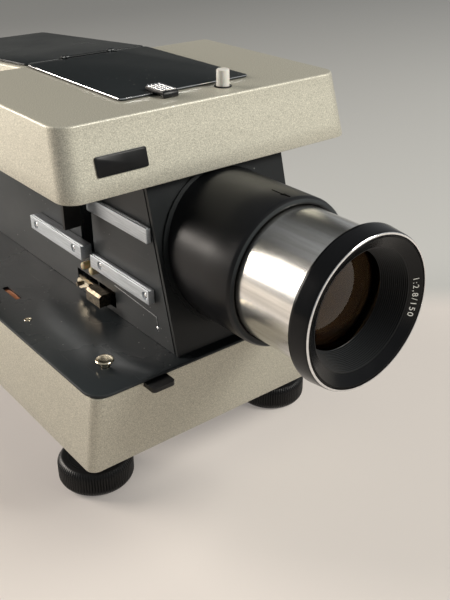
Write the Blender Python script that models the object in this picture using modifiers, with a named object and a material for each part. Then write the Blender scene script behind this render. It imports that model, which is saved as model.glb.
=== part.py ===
"""Slide projector with two magazine tracks, one each side of a narrow optical spine.

Metres, +Z up. The floor is Z = 0, the lens looks along -Y and the optical axis lies in
the plane X = 0. Heights named ..._HEIGHT_OVER_DECK are measured from the deck's top face
and places named ..._Y from the deck's front edge. The root empty centres the whole
outline on the origin.
"""

import math

import bmesh
import bpy
from mathutils import Matrix, Vector

# General clearances and walls
GAP = 0.0003
OVERCUT = 0.004
ROUND_SEGMENTS = 40
SMALL_SEGMENTS = 20
CORNER_SEGMENTS = 5

# Base and deck
FOOT_LIFT = 0.048
BASE_HEIGHT = 0.060
DECK_WIDTH = 0.215
DECK_LENGTH = 0.330
DECK_THICKNESS = 0.002
DECK_CORNER_RADIUS = 0.012
BASE_INSET = 0.001
BASE_WALL = 0.0025
BASE_LEAN = math.radians(12.7)
BOTTOM_THICKNESS = 0.002
DECK_Z = FOOT_LIFT + BASE_HEIGHT

# Levelling feet
FOOT_INSET = 0.0321
FOOT_X = DECK_WIDTH / 2 - FOOT_INSET
FRONT_FOOT_Y = 0.0662
REAR_FOOT_INSET = 0.045
REAR_FOOT_Y = DECK_LENGTH - REAR_FOOT_INSET
FOOT_RADIUS = 0.0245
FOOT_WHEEL_HEIGHT = 0.018
FOOT_FLUTES = 24
FOOT_FLUTE_RADIUS = 0.0008
FOOT_EDGE_RADIUS = 0.0035
STEM_RADIUS = 0.005
STEM_SEAT_HEIGHT = 0.006
STEM_COLLAR_RADIUS = 0.009
STEM_COLLAR_HEIGHT = 0.003
STEM_TOP_LIFT = 0.012
FOOT_BOSS_RADIUS = 0.010
FOOT_BOSS_HEIGHT = 0.010

# Spine walls and lens panel
SPINE_WIDTH = 0.0964
SPINE_WALL = 0.0015
WALL_TUCK_SHARE = 0.23
PANEL_LEAN = math.radians(14.6)
PANEL_FOOT_Y = 0.0070
PANEL_THICKNESS = 0.002
PANEL_TOP_GAP = 0.0009
PANEL_SHADOW_GAP = 0.0012
PANEL_RING_RADIUS = 0.0462
PANEL_RING_HEIGHT = 0.0016

# Optical axis and lens
MOUNT_TUBE_RADIUS = 0.043
TUBE_OVER_DECK = 0.0095
AXIS_HEIGHT_OVER_DECK = TUBE_OVER_DECK + MOUNT_TUBE_RADIUS
MOUNT_TUBE_BORE = 0.0387
MOUNT_TUBE_FRONT_Y = -0.032
MOUNT_TUBE_REAR_Y = 0.058
TUBE_EDGE = 0.0008
BARREL_RADIUS = MOUNT_TUBE_BORE - GAP
BARREL_BORE = 0.0355
BARREL_FRONT_Y = -0.082
BARREL_REAR_Y = 0.048
COLLAR_RADIUS = 0.0435
COLLAR_FRONT_RADIUS = 0.0422
COLLAR_REAR_Y = -0.0768
COLLAR_FRONT_Y = -0.0885
COLLAR_POCKET_RADIUS = 0.0408
NAME_RING_FRONT_RADIUS = 0.0395
NAME_RING_REAR_RADIUS = 0.0335
NAME_RING_DEPTH = 0.0035
BAFFLE_END_RADIUS = 0.0279
BAFFLE_END_Y = -0.0698
BAFFLE_STEPS = 4
BAFFLE_RIDGE = 0.0006
FRONT_GLASS_THICKNESS = 0.0075
FRONT_GLASS_SAG = 0.0046
REAR_GLASS_Y = 0.036
REAR_GLASS_THICKNESS = 0.005
REAR_GLASS_SAG = 0.003
GLASS_RINGS = 4

# Top cover over the two tracks
COVER_OVER_TUBE = 0.0014
COVER_RISE = 0.0375
COVER_BOTTOM_OVER_DECK = AXIS_HEIGHT_OVER_DECK + MOUNT_TUBE_RADIUS + COVER_OVER_TUBE
COVER_TOP_OVER_DECK = COVER_BOTTOM_OVER_DECK + COVER_RISE
SPINE_WALL_HEIGHT = COVER_BOTTOM_OVER_DECK + WALL_TUCK_SHARE * COVER_RISE
PANEL_HEIGHT = COVER_BOTTOM_OVER_DECK - PANEL_TOP_GAP
COVER_BOTTOM_WIDTH = 0.199
COVER_TOP_WIDTH = 0.1932
COVER_FRONT_BOTTOM_Y = 0.0251
COVER_FRONT_TOP_Y = 0.0343
RIDGE_Y = 0.168
COVER_WALL = 0.0018
COVER_CORNER_RADIUS = 0.011
COVER_REAR_CORNER_RADIUS = 0.004
COVER_EDGE_RADIUS = 0.0025
COVER_WINDOW_SIDE_GAP = 0.0008
COVER_WINDOW_TOP_DROP = 0.006

# Lamp house behind the ridge
LAMP_HOUSE_BOTTOM_WIDTH = 0.103
LAMP_HOUSE_TOP_WIDTH = 0.096
LAMP_HOUSE_REAR_INSET = 0.003
LAMP_HOUSE_REAR_Y = DECK_LENGTH - LAMP_HOUSE_REAR_INSET
LAMP_HOUSE_WALL = 0.0015
LAMP_HOUSE_CORNER_RADIUS = 0.005
TOP_FALL = math.radians(4.5)

# Flap and rear panel
FLAP_WIDTH = 0.0892
FLAP_FRONT_Y = 0.0578
FLAP_THICKNESS = 0.0012
FLAP_CORNER_RADIUS = 0.003
FLAP_OPENING_MARGIN = 0.003
HINGE_GAP = 0.0009
HINGE_PIN_RADIUS = 0.0008
KNUCKLE_RADIUS = 0.0015
KNUCKLE_LENGTH = 0.0025
KNUCKLE_X = 0.017
REAR_PANEL_MARGIN = 0.008
REAR_PANEL_LENGTH = LAMP_HOUSE_REAR_Y - RIDGE_Y - REAR_PANEL_MARGIN

# Catch and push rod on the top
CATCH_X = -0.0185
CATCH_WIDTH = 0.010
CATCH_FRONT_Y = 0.0475
CATCH_REAR_Y = 0.0655
CATCH_HEIGHT = 0.0030
CATCH_TAIL_HEIGHT = 0.0018
CATCH_RIBS = 5
CATCH_GROOVE = 0.0008
CATCH_TRAVEL = 0.006
ROD_X = 0.0190
ROD_Y = 0.0500
ROD_RADIUS = 0.00375
ROD_RISE = 0.010
ROD_TAIL = 0.016
ROD_FLANGE_RADIUS = 0.0055
ROD_FLANGE_HEIGHT = 0.002
ROD_EDGE = 0.0006

# Magazine rails on the spine walls
RAIL_FLANGE = 0.0010
RAIL_FLANGE_RISE = 0.0018
RAILS = {
    "upper_front": {"start": 0.0287, "end": 0.0930, "low": 0.0635, "high": 0.0724, "depth": 0.0030},
    "lower_front": {"start": 0.0280, "end": 0.0920, "low": 0.0263, "high": 0.0350, "depth": 0.0042},
    "lower_rear": {"start": 0.0965, "end": 0.1630, "low": 0.0300, "high": 0.0393, "depth": 0.0078},
}

# Slide gate, changer arms and their bar
SLOT_FRONT_Y = 0.0938
SLOT_REAR_Y = 0.1085
SLOT_LOW = 0.0340
ARM_OUTER_X = 0.0660
ARM_WIDTH = 0.0110
ARM_FRONT_Y = 0.0948
ARM_THICKNESS = 0.0024
ARM_LOW = 0.0535
CARRIAGE_WIDTH = 0.0150
CARRIAGE_WALL = 0.0020
CARRIAGE_TOP = 0.0045
BAR_FRONT_Y = 0.113
BAR_DEPTH = 0.006
BAR_HEIGHT = 0.005
BAR_HALF_LENGTH = 0.092
BAR_OVER_WALL = 0.0031
BAR_LOW = SPINE_WALL_HEIGHT + BAR_OVER_WALL
GATE_Y = 0.0982
GATE_THICKNESS = 0.002
GATE_HALF_WIDTH = 0.0441
GATE_APERTURE = 0.056
GATE_SHELF_HALF_WIDTH = 0.018
GATE_SHELF_THICKNESS = 0.003
GATE_SHELF_REACH = 0.002

# Guide pegs, indexing slider and pawl at the foot of each wall
PEG_RADIUS = 0.0025
PEG_LENGTH = 0.0058
PEG_YS = (0.0915, 0.1015)
PEG_HEIGHT = 0.0235
PEG_PLATE_THICKNESS = 0.002
PEG_PLATE_MARGIN = 0.0035
INDEX_WINDOW_FRONT_Y = 0.072
INDEX_WINDOW_REAR_Y = 0.118
INDEX_WINDOW_LOW = 0.004
INDEX_WINDOW_HIGH = 0.0150
SLIDER_FRONT_Y = 0.0770
SLIDER_REAR_Y = 0.0930
SLIDER_LOW = 0.0050
SLIDER_HIGH = 0.0132
SLIDER_DEPTH = 0.0088
SLIDER_STANDOFF = 0.0010
SLIDER_CHAMFER = 0.0015
SLIDER_FOOT_INSET = 0.0030
SLIDER_FOOT_DEPTH = 0.0050
TAIL_THICKNESS = 0.0014
TAIL_REAR_Y = 0.1120
PAWL_PIVOT_Y = 0.1080
PAWL_PIVOT_HEIGHT = 0.0088
PAWL_PIN_RADIUS = 0.0015
PAWL_PIN_LENGTH = 0.0045
PAWL_THICKNESS = 0.0016
PAWL_EYE_RADIUS = 0.0038
PAWL_REACH = 0.0105
PAWL_TIP_HEIGHT = 0.0030

# Deck fittings
STUD_INSET = 0.0226
STUD_X = DECK_WIDTH / 2 - STUD_INSET
STUD_Y = 0.0255
STUD_HEAD_RADIUS = 0.0053
STUD_HEAD_HEIGHT = 0.0022
STUD_STAND = 0.0022
STUD_STEM_RADIUS = 0.0025
STUD_FLANGE_RADIUS = 0.0045
STUD_TAIL = 0.004
SENSOR_SLOT_INSET = 0.0213
SENSOR_SLOT_X = DECK_WIDTH / 2 - SENSOR_SLOT_INSET
SENSOR_SLOT_WIDTH = 0.004
SENSOR_SLOT_FRONT_Y = 0.129
SENSOR_SLOT_REAR_Y = 0.150
KEY_INSET = 0.0321
KEY_OUTER_X = DECK_WIDTH / 2 - KEY_INSET
KEY_WIDTH = 0.0148
KEY_THICKNESS = 0.0027
KEY_FRONT_Y = -0.0080
KEY_REAR_Y = 0.0150
KEY_CORNER_RADIUS = 0.0022
KEY_HEAD_WIDTH = 0.0200
KEY_HEAD_DEPTH = 0.0060

# Condenser, lamp and mirror
HOLDER_HALF_WIDTH = 0.041
HOLDER_MARGIN = 0.0065
HOLDER_FLOOR = 0.003
HOLDER_PLATE = 0.004
HOLDER_YS = (0.124, 0.146, 0.168)
CONDENSER_RADIUS = 0.033
HOLDER_HEIGHT = AXIS_HEIGHT_OVER_DECK + CONDENSER_RADIUS + HOLDER_MARGIN
CONDENSER_EDGE = 0.003
CONDENSER_SAG = 0.009
FILTER_THICKNESS = 0.003
SOCKET_Y = 0.202
SOCKET_SIZE = 0.030
SOCKET_HEIGHT = 0.024
LAMP_PIN_RADIUS = 0.0055
LAMP_PIN_HEIGHT = 0.010
LAMP_BULB_RADIUS = 0.0115
LAMP_BULB_LENGTH = 0.046
MIRROR_Y = 0.223
MIRROR_RADIUS = 0.027
MIRROR_SAG = 0.010
MIRROR_THICKNESS = 0.0015
MIRROR_POST_WIDTH = 0.012

# Blower and transformer in the base
FAN_INSET = 0.062
FAN_Y = DECK_LENGTH - FAN_INSET
AIR_HOLE_RADIUS = 0.0345
FAN_RADIUS = 0.033
FAN_HEIGHT = 0.022
FAN_HUB_RADIUS = 0.008
FAN_BLADES = 12
FAN_BLADE_THICKNESS = 0.0012
FAN_DISC_THICKNESS = 0.0016
FAN_LIFT = 0.003
MOTOR_RADIUS = 0.021
MOTOR_HEIGHT = 0.022
SHAFT_RADIUS = 0.002
SHAFT_DEPTH = 0.012
TRANSFORMER_X = 0.040
TRANSFORMER_TO_FAN = 0.030
TRANSFORMER_WIDTH = 0.062
TRANSFORMER_LENGTH = 0.052
TRANSFORMER_HEIGHT = 0.044
WINDING_MARGIN = 0.009
WINDING_INSET = 0.011
TRANSFORMER_Y = FAN_Y - FAN_RADIUS - TRANSFORMER_TO_FAN - WINDING_MARGIN - TRANSFORMER_LENGTH / 2
INTAKE_SLOTS = 3
INTAKE_SLOT_WIDTH = 0.003
INTAKE_SLOT_LENGTH = 0.044
INTAKE_PITCH = 0.007

# Rear plate, mains inlet and switch
GRILLE_THICKNESS = 0.0015
GRILLE_SLOTS = 8
GRILLE_SLOT_HEIGHT = 0.003
GRILLE_PITCH = 0.0075
GRILLE_SLOT_WIDTH = 0.066
GRILLE_FIRST_HEIGHT = 0.024
REAR_FITTING_INSET = 0.0435
INLET_X = REAR_FITTING_INSET - DECK_WIDTH / 2
INLET_WIDTH = 0.027
INLET_HEIGHT = 0.020
INLET_DEPTH = 0.018
INLET_RIM = 0.003
INLET_RIM_THICKNESS = 0.0007
INLET_RECESS_WIDTH = 0.021
INLET_RECESS_HEIGHT = 0.014
INLET_RECESS_DEPTH = 0.014
INLET_PIN_RADIUS = 0.0012
INLET_PIN_SPREAD = 0.0065
INLET_PIN_HEIGHT = 0.0045
INLET_PIN_LENGTH = 0.010
SWITCH_X = DECK_WIDTH / 2 - REAR_FITTING_INSET
SWITCH_WIDTH = 0.012
SWITCH_HEIGHT = 0.020
SWITCH_DEPTH = 0.010
SWITCH_DISH = 0.001
SWITCH_CLEARANCE = 0.001
SWITCH_TILT = math.radians(8)
REAR_FITTING_DROP = 0.032

PROJECTOR_FRONT_Y = COLLAR_FRONT_Y
PROJECTOR_REAR_Y = DECK_LENGTH
AXIS_Z = DECK_Z + AXIS_HEIGHT_OVER_DECK
SPINE_HALF = SPINE_WIDTH / 2
HINGE_Z = DECK_Z + COVER_TOP_OVER_DECK + GAP + FLAP_THICKNESS + GAP

# name: (red, green, blue, roughness, metallic)
FINISHES = {
    "enamel_beige": (0.560, 0.510, 0.390, 0.42, 0.0),
    "paint_dark_grey": (0.045, 0.048, 0.050, 0.45, 0.0),
    "paint_black": (0.012, 0.013, 0.014, 0.38, 0.0),
    "anodised_black": (0.015, 0.016, 0.018, 0.25, 0.2),
    "aluminium_satin": (0.620, 0.620, 0.610, 0.32, 1.0),
    "aluminium_polished": (0.700, 0.690, 0.680, 0.18, 1.0),
    "nickel": (0.680, 0.640, 0.560, 0.20, 1.0),
    "steel_zinc": (0.420, 0.430, 0.440, 0.40, 1.0),
    "plastic_black": (0.010, 0.010, 0.011, 0.35, 0.0),
    "nylon_cream": (0.720, 0.640, 0.460, 0.45, 0.0),
    "acrylic_frosted": (0.780, 0.780, 0.720, 0.40, 0.0),
    "optical_glass": (0.700, 0.620, 0.480, 0.03, 0.0),
    "lamp_glass": (0.820, 0.840, 0.850, 0.05, 0.0),
    "ceramic": (0.720, 0.700, 0.650, 0.60, 0.0),
    "iron_laminated": (0.120, 0.110, 0.105, 0.55, 0.6),
}

PARTS = None
CUTTERS = None


def clear_scene():
    """Remove every object, so the script can be run again."""
    for item in list(bpy.data.objects):
        bpy.data.objects.remove(item, do_unlink=True)


def make_collections():
    """One collection for the projector and one for its cutters."""
    parts = bpy.data.collections.new("slide_projector")
    cutters = bpy.data.collections.new("cutters")
    bpy.context.scene.collection.children.link(parts)
    bpy.context.scene.collection.children.link(cutters)
    return parts, cutters


def finish(name):
    """Principled material of one named finish."""
    material = bpy.data.materials.get(name)
    if material is None:
        red, green, blue, roughness, metallic = FINISHES[name]
        material = bpy.data.materials.new(name)
        material.use_nodes = True
        shader = material.node_tree.nodes["Principled BSDF"]
        shader.inputs["Base Color"].default_value = (red, green, blue, 1.0)
        shader.inputs["Roughness"].default_value = roughness
        shader.inputs["Metallic"].default_value = metallic
    return material


def empty(name, location, parent=None):
    """A pivot or the root: an empty at a place given in the projector's own frame."""
    pivot = bpy.data.objects.new(name, None)
    PARTS.objects.link(pivot)
    pivot.parent = parent
    pivot.location = Vector(location) - world_of(parent)
    pivot["place"] = tuple(location)
    return pivot


def world_of(pivot):
    """Place of a pivot in the projector's own frame, before the root is moved."""
    if pivot is None or "place" not in pivot:
        return Vector((0.0, 0.0, 0.0))
    return Vector(pivot["place"])


def add_object(name, bm, finish_name, parent, location=(0.0, 0.0, 0.0), smooth=True):
    """Turn a bmesh into a named part, or into a cutter when it has no finish."""
    mesh = bpy.data.meshes.new(name)
    bm.normal_update()
    bm.to_mesh(mesh)
    bm.free()
    item = bpy.data.objects.new(name, mesh)
    item.parent = parent
    item.location = Vector(location) - world_of(parent)
    if finish_name is None:
        CUTTERS.objects.link(item)
        item.hide_render = True
        item.display_type = "WIRE"
    else:
        PARTS.objects.link(item)
        mesh.materials.append(finish(finish_name))
        if smooth:
            mesh.shade_smooth()
            mesh.set_sharp_from_angle(angle=math.radians(35))
    return item


def box_mesh(low, high):
    """Bmesh of a box between two corners."""
    bm = bmesh.new()
    bmesh.ops.create_cube(bm, size=1.0)
    low = Vector(low)
    high = Vector(high)
    middle = (low + high) / 2
    for vert in bm.verts:
        vert.co = Vector(middle[i] + vert.co[i] * (high[i] - low[i]) for i in range(3))
    return bm


def box(name, low, high, finish_name, parent, round_axis=None, radius=None, segments=CORNER_SEGMENTS):
    """A box, its edges along one axis rounded if a radius is given."""
    bm = box_mesh(low, high)
    if round_axis is not None:
        round_edges(bm, edges_along(bm, round_axis), radius, segments)
    return add_object(name, bm, finish_name, parent)


def edges_along(bm, axis, rule=None):
    """Edges that run mostly along one axis, and whose middle passes a rule."""
    found = []
    for edge in bm.edges:
        run = edge.verts[1].co - edge.verts[0].co
        middle = (edge.verts[0].co + edge.verts[1].co) / 2
        longest = max(range(3), key=lambda i: abs(run[i]))
        if longest == axis and (rule is None or rule(middle)):
            found.append(edge)
    return found


def round_edges(bm, edges, radius, segments=CORNER_SEGMENTS):
    """Round the given edges with an arc of the given radius."""
    bmesh.ops.bevel(bm, geom=edges, offset=radius, segments=segments, profile=0.5,
                    affect="EDGES", offset_type="OFFSET")


def cylinder(name, radius, start, end, finish_name, parent, segments=SMALL_SEGMENTS):
    """A cylinder between two points on its axis."""
    start = Vector(start)
    end = Vector(end)
    bm = bmesh.new()
    bmesh.ops.create_cone(bm, cap_ends=True, segments=segments, radius1=radius, radius2=radius,
                          depth=(end - start).length)
    turn = (end - start).to_track_quat("Z", "Y").to_matrix().to_4x4()
    bmesh.ops.transform(bm, matrix=Matrix.Translation((start + end) / 2) @ turn, verts=bm.verts)
    return add_object(name, bm, finish_name, parent)


def turned(name, profile, centre, direction, finish_name, parent, steps=ROUND_SEGMENTS):
    """A turned piece. The profile is (radius, place along the axis) round a closed ring,
    or from axis to axis, listed so that its outer side runs towards lower places."""
    mesh = bpy.data.meshes.new(name)
    points = [(radius, 0.0, place) for radius, place in profile]
    closed = profile[0][0] > 0 and profile[-1][0] > 0
    count = len(points)
    edges = [(i, (i + 1) % count) for i in range(count if closed else count - 1)]
    mesh.from_pydata(points, edges, [])
    item = bpy.data.objects.new(name, mesh)
    item.parent = parent
    item.location = Vector(centre) - world_of(parent)
    item.rotation_mode = "QUATERNION"
    item.rotation_quaternion = Vector(direction).to_track_quat("Z", "Y")
    screw = item.modifiers.new("turn", "SCREW")
    screw.axis = "Z"
    screw.steps = steps
    screw.render_steps = steps
    screw.use_merge_vertices = True
    screw.merge_threshold = 0.00001
    screw.use_smooth_shade = True
    if finish_name is None:
        CUTTERS.objects.link(item)
        item.hide_render = True
        item.display_type = "WIRE"
    else:
        PARTS.objects.link(item)
        mesh.materials.append(finish(finish_name))
    return item


def outline_mesh(name, points, low, high, axis):
    """Mesh of a flat outline, given in the plane across one axis, between two places on it."""
    curve = bpy.data.curves.new(name, "CURVE")
    curve.dimensions = "2D"
    curve.fill_mode = "BOTH"
    curve.extrude = (high - low) / 2
    spline = curve.splines.new("POLY")
    spline.points.add(len(points) - 1)
    for place, (u, v) in zip(spline.points, points):
        place.co = (u, v, 0.0, 1.0)
    spline.use_cyclic_u = True
    guide = bpy.data.objects.new(name, curve)
    CUTTERS.objects.link(guide)
    bpy.context.view_layer.update()
    mesh = bpy.data.meshes.new_from_object(guide.evaluated_get(bpy.context.evaluated_depsgraph_get()))
    bpy.data.objects.remove(guide, do_unlink=True)
    bm = bmesh.new()
    bm.from_mesh(mesh)
    bpy.data.meshes.remove(mesh)
    bmesh.ops.remove_doubles(bm, verts=bm.verts, dist=0.000001)
    middle = (high + low) / 2
    for vert in bm.verts:
        u, v, w = vert.co
        if axis == 0:
            vert.co = (w + middle, u, v)
        elif axis == 1:
            vert.co = (u, w + middle, v)
        else:
            vert.co = (u, v, w + middle)
    bmesh.ops.recalc_face_normals(bm, faces=bm.faces)
    if bm.calc_volume(signed=True) < 0:
        bmesh.ops.reverse_faces(bm, faces=bm.faces)
    return bm


def outline_solid(name, points, low, high, axis, finish_name, parent):
    """A plate of the given outline between two places along one axis."""
    bm = outline_mesh(name, points, low, high, axis)
    return add_object(name, bm, finish_name, parent)


def combine(target, tool, operation):
    """Boolean with the exact solver; the tool becomes a guide that isn't a part."""
    modifier = target.modifiers.new(tool.name, "BOOLEAN")
    modifier.operation = operation
    modifier.solver = "EXACT"
    modifier.object = tool


def cut(target, *tools):
    """Cut each tool out of the target."""
    for tool in tools:
        combine(target, tool, "DIFFERENCE")


def weld(target, *tools):
    """Join each tool to the target."""
    for tool in tools:
        combine(target, tool, "UNION")


def shell(item, thickness):
    """Give an open skin a wall on its inner side."""
    modifier = item.modifiers.new("wall", "SOLIDIFY")
    modifier.thickness = thickness
    modifier.offset = -1.0
    modifier.use_even_offset = True
    modifier.use_rim = True


def arc(centre, radius, start, end, steps):
    """Points of a circular arc, angles in radians."""
    return [(centre[0] + radius * math.cos(start + (end - start) * i / steps),
             centre[1] + radius * math.sin(start + (end - start) * i / steps))
            for i in range(steps + 1)]


def mirrored(points):
    """The same outline with its first coordinate negated, in the same turning sense."""
    return [(-u, v) for u, v in reversed(points)]


def side_box(name, side, near, far, low, high, finish_name, parent, **rounding):
    """A box on one side of the spine: near and far are distances from the plane X = 0,
    and low and high are (Y, Z) corners."""
    xs = sorted((side * near, side * far))
    return box(name, (xs[0], low[0], low[1]), (xs[1], high[0], high[1]), finish_name, parent, **rounding)


SIDES = {"left": -1, "right": 1}


def base_wall_y(z):
    """Y of the base's outer front face at a height."""
    top = DECK_Z - DECK_THICKNESS - GAP
    return BASE_INSET + (top - z) * math.tan(BASE_LEAN)


def leaning_block(name, inset, low, high, finish_name, root):
    """Block with the base's plan, drawn in by an inset, whose front leans back towards the floor."""
    half = DECK_WIDTH / 2 - BASE_INSET - inset
    bm = box_mesh((-half, 0.0, low), (half, DECK_LENGTH - BASE_INSET - inset, high))
    for vert in bm.verts:
        if vert.co.y < DECK_LENGTH / 2:
            vert.co.y = base_wall_y(vert.co.z) + inset / math.cos(BASE_LEAN)
    round_edges(bm, edges_along(bm, 2), DECK_CORNER_RADIUS - inset)
    return add_object(name, bm, finish_name, root)


def build_base_housing(root):
    """Enamelled wall of the base: a rounded ring whose front leans back towards the floor."""
    top = DECK_Z - DECK_THICKNESS - GAP
    housing = leaning_block("base_housing", 0.0, FOOT_LIFT, top, "enamel_beige", root)
    cut(housing, leaning_block("base_cavity", BASE_WALL, FOOT_LIFT - OVERCUT, top + OVERCUT, None, root))
    for label, side in SIDES.items():
        slot = side_box("key_slot_" + label, side, KEY_OUTER_X + GAP, KEY_OUTER_X - KEY_WIDTH - GAP,
                        (KEY_FRONT_Y, top - KEY_THICKNESS - GAP),
                        (base_wall_y(top) + BASE_WALL + OVERCUT, top + OVERCUT), None, root)
        cut(housing, slot)
    fitting_z = top - REAR_FITTING_DROP
    rear = DECK_LENGTH - BASE_INSET
    inlet = box("inlet_hole", (INLET_X - INLET_WIDTH / 2 - GAP, rear - BASE_WALL - OVERCUT,
                               fitting_z - INLET_HEIGHT / 2 - GAP),
                (INLET_X + INLET_WIDTH / 2 + GAP, rear + OVERCUT, fitting_z + INLET_HEIGHT / 2 + GAP),
                None, root)
    switch = box("switch_hole", (SWITCH_X - SWITCH_WIDTH / 2 - GAP, rear - BASE_WALL - OVERCUT,
                                 fitting_z - SWITCH_HEIGHT / 2 - SWITCH_CLEARANCE),
                 (SWITCH_X + SWITCH_WIDTH / 2 + GAP, rear + OVERCUT,
                  fitting_z + SWITCH_HEIGHT / 2 + SWITCH_CLEARANCE), None, root)
    cut(housing, inlet, switch)


def build_bottom_plate(root):
    """Steel bottom with the four threaded foot bosses and the blower's intake slots."""
    half = DECK_WIDTH / 2 - BASE_INSET - BASE_WALL - GAP
    front = base_wall_y(FOOT_LIFT) + BASE_WALL / math.cos(BASE_LEAN) + GAP
    rear = DECK_LENGTH - BASE_INSET - BASE_WALL - GAP
    top = FOOT_LIFT + BOTTOM_THICKNESS
    plate = box("bottom_plate", (-half, front, FOOT_LIFT), (half, rear, top), "steel_zinc", root,
                round_axis=2, radius=DECK_CORNER_RADIUS)
    for label, x, y in foot_places():
        boss = cylinder("boss_" + label, FOOT_BOSS_RADIUS, (x, y, top - BOTTOM_THICKNESS / 2),
                        (x, y, top + FOOT_BOSS_HEIGHT), None, root)
        bore = cylinder("boss_bore_" + label, STEM_RADIUS + GAP, (x, y, FOOT_LIFT - OVERCUT),
                        (x, y, top + FOOT_BOSS_HEIGHT + OVERCUT), None, root)
        weld(plate, boss)
        cut(plate, bore)
    for i in range(2 * INTAKE_SLOTS):
        toward = 1 if i < INTAKE_SLOTS else -1
        y = FAN_Y + toward * (MOTOR_RADIUS + INTAKE_PITCH * (i % INTAKE_SLOTS + 0.5))
        slot = box("intake_%d" % i, (-INTAKE_SLOT_LENGTH / 2, y - INTAKE_SLOT_WIDTH / 2, FOOT_LIFT - OVERCUT),
                   (INTAKE_SLOT_LENGTH / 2, y + INTAKE_SLOT_WIDTH / 2, top + OVERCUT), None, root)
        cut(plate, slot)


def foot_places():
    """Label and place of each levelling foot."""
    return [("front_left", -FOOT_X, FRONT_FOOT_Y), ("front_right", FOOT_X, FRONT_FOOT_Y),
            ("rear_left", -FOOT_X, REAR_FOOT_Y), ("rear_right", FOOT_X, REAR_FOOT_Y)]


def fluted_outline(radius, flutes, depth):
    """Round outline with shallow flutes, two points up and two points down on each."""
    points = []
    for i in range(flutes):
        for share, r in ((0.0, radius), (0.45, radius), (0.6, radius - depth), (0.85, radius - depth)):
            angle = 2 * math.pi * (i + share) / flutes
            points.append((r * math.cos(angle), r * math.sin(angle)))
    return points


def build_feet(root):
    """Knurled wheel and threaded stem of each levelling foot."""
    for label, x, y in foot_places():
        pivot = empty("foot_axis_" + label, (x, y, 0.0), root)
        points = [(x + u, y + v) for u, v in fluted_outline(FOOT_RADIUS, FOOT_FLUTES, FOOT_FLUTE_RADIUS)]
        bm = outline_mesh("wheel_" + label, points, 0.0, FOOT_WHEEL_HEIGHT, 2)
        for vert in bm.verts:
            vert.co -= Vector((x, y, 0.0))
        wheel = add_object("foot_wheel_" + label, bm, "plastic_black", pivot, (x, y, 0.0))
        lip = turned("wheel_lip_" + label,
                     [(FOOT_RADIUS + OVERCUT, FOOT_WHEEL_HEIGHT + OVERCUT),
                      (FOOT_RADIUS + OVERCUT, FOOT_WHEEL_HEIGHT - FOOT_EDGE_RADIUS)]
                     + [(FOOT_RADIUS + GAP - FOOT_EDGE_RADIUS + FOOT_EDGE_RADIUS * math.cos(angle),
                         FOOT_WHEEL_HEIGHT - FOOT_EDGE_RADIUS + FOOT_EDGE_RADIUS * math.sin(angle))
                        for angle in (0.0, math.pi / 6, math.pi / 3, math.pi / 2)]
                     + [(FOOT_RADIUS - FOOT_EDGE_RADIUS, FOOT_WHEEL_HEIGHT + OVERCUT)],
                     (x, y, 0.0), (0, 0, 1), None, pivot, steps=24)
        bore = cylinder("wheel_bore_" + label, STEM_RADIUS + GAP, (x, y, STEM_SEAT_HEIGHT - GAP),
                        (x, y, FOOT_WHEEL_HEIGHT + OVERCUT), None, pivot)
        cut(wheel, lip, bore)
        stem_top = FOOT_LIFT + BOTTOM_THICKNESS + STEM_TOP_LIFT
        collar_low = FOOT_WHEEL_HEIGHT + GAP
        turned("foot_stem_" + label,
               [(0.0, stem_top), (STEM_RADIUS, stem_top), (STEM_RADIUS, collar_low + STEM_COLLAR_HEIGHT),
                (STEM_COLLAR_RADIUS, collar_low + STEM_COLLAR_HEIGHT), (STEM_COLLAR_RADIUS, collar_low),
                (STEM_RADIUS, collar_low), (STEM_RADIUS, STEM_SEAT_HEIGHT), (0.0, STEM_SEAT_HEIGHT)],
               (x, y, 0.0), (0, 0, 1), "steel_zinc", pivot, steps=SMALL_SEGMENTS)


def build_deck(root):
    """Deck plate that both magazines run on, with its openings."""
    plate = box("deck_plate", (-DECK_WIDTH / 2, 0.0, DECK_Z - DECK_THICKNESS),
                (DECK_WIDTH / 2, DECK_LENGTH, DECK_Z), "paint_dark_grey", root,
                round_axis=2, radius=DECK_CORNER_RADIUS)
    low = DECK_Z - DECK_THICKNESS - OVERCUT
    high = DECK_Z + OVERCUT
    for label, side in SIDES.items():
        sensor = side_box("sensor_slot_" + label, side, SENSOR_SLOT_X - SENSOR_SLOT_WIDTH / 2,
                          SENSOR_SLOT_X + SENSOR_SLOT_WIDTH / 2, (SENSOR_SLOT_FRONT_Y, low),
                          (SENSOR_SLOT_REAR_Y, high), None, root)
        stud = cylinder("stud_hole_" + label, STUD_STEM_RADIUS + GAP, (side * STUD_X, STUD_Y, low),
                        (side * STUD_X, STUD_Y, high), None, root)
        cut(plate, sensor, stud)
    air = cylinder("air_hole", AIR_HOLE_RADIUS, (0.0, FAN_Y, low), (0.0, FAN_Y, high), None, root,
                   segments=ROUND_SEGMENTS)
    cut(plate, air)


def panel_face_y(height):
    """Y of the lens panel's front face at a height over the deck."""
    return PANEL_FOOT_Y + height * math.tan(PANEL_LEAN)


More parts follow.
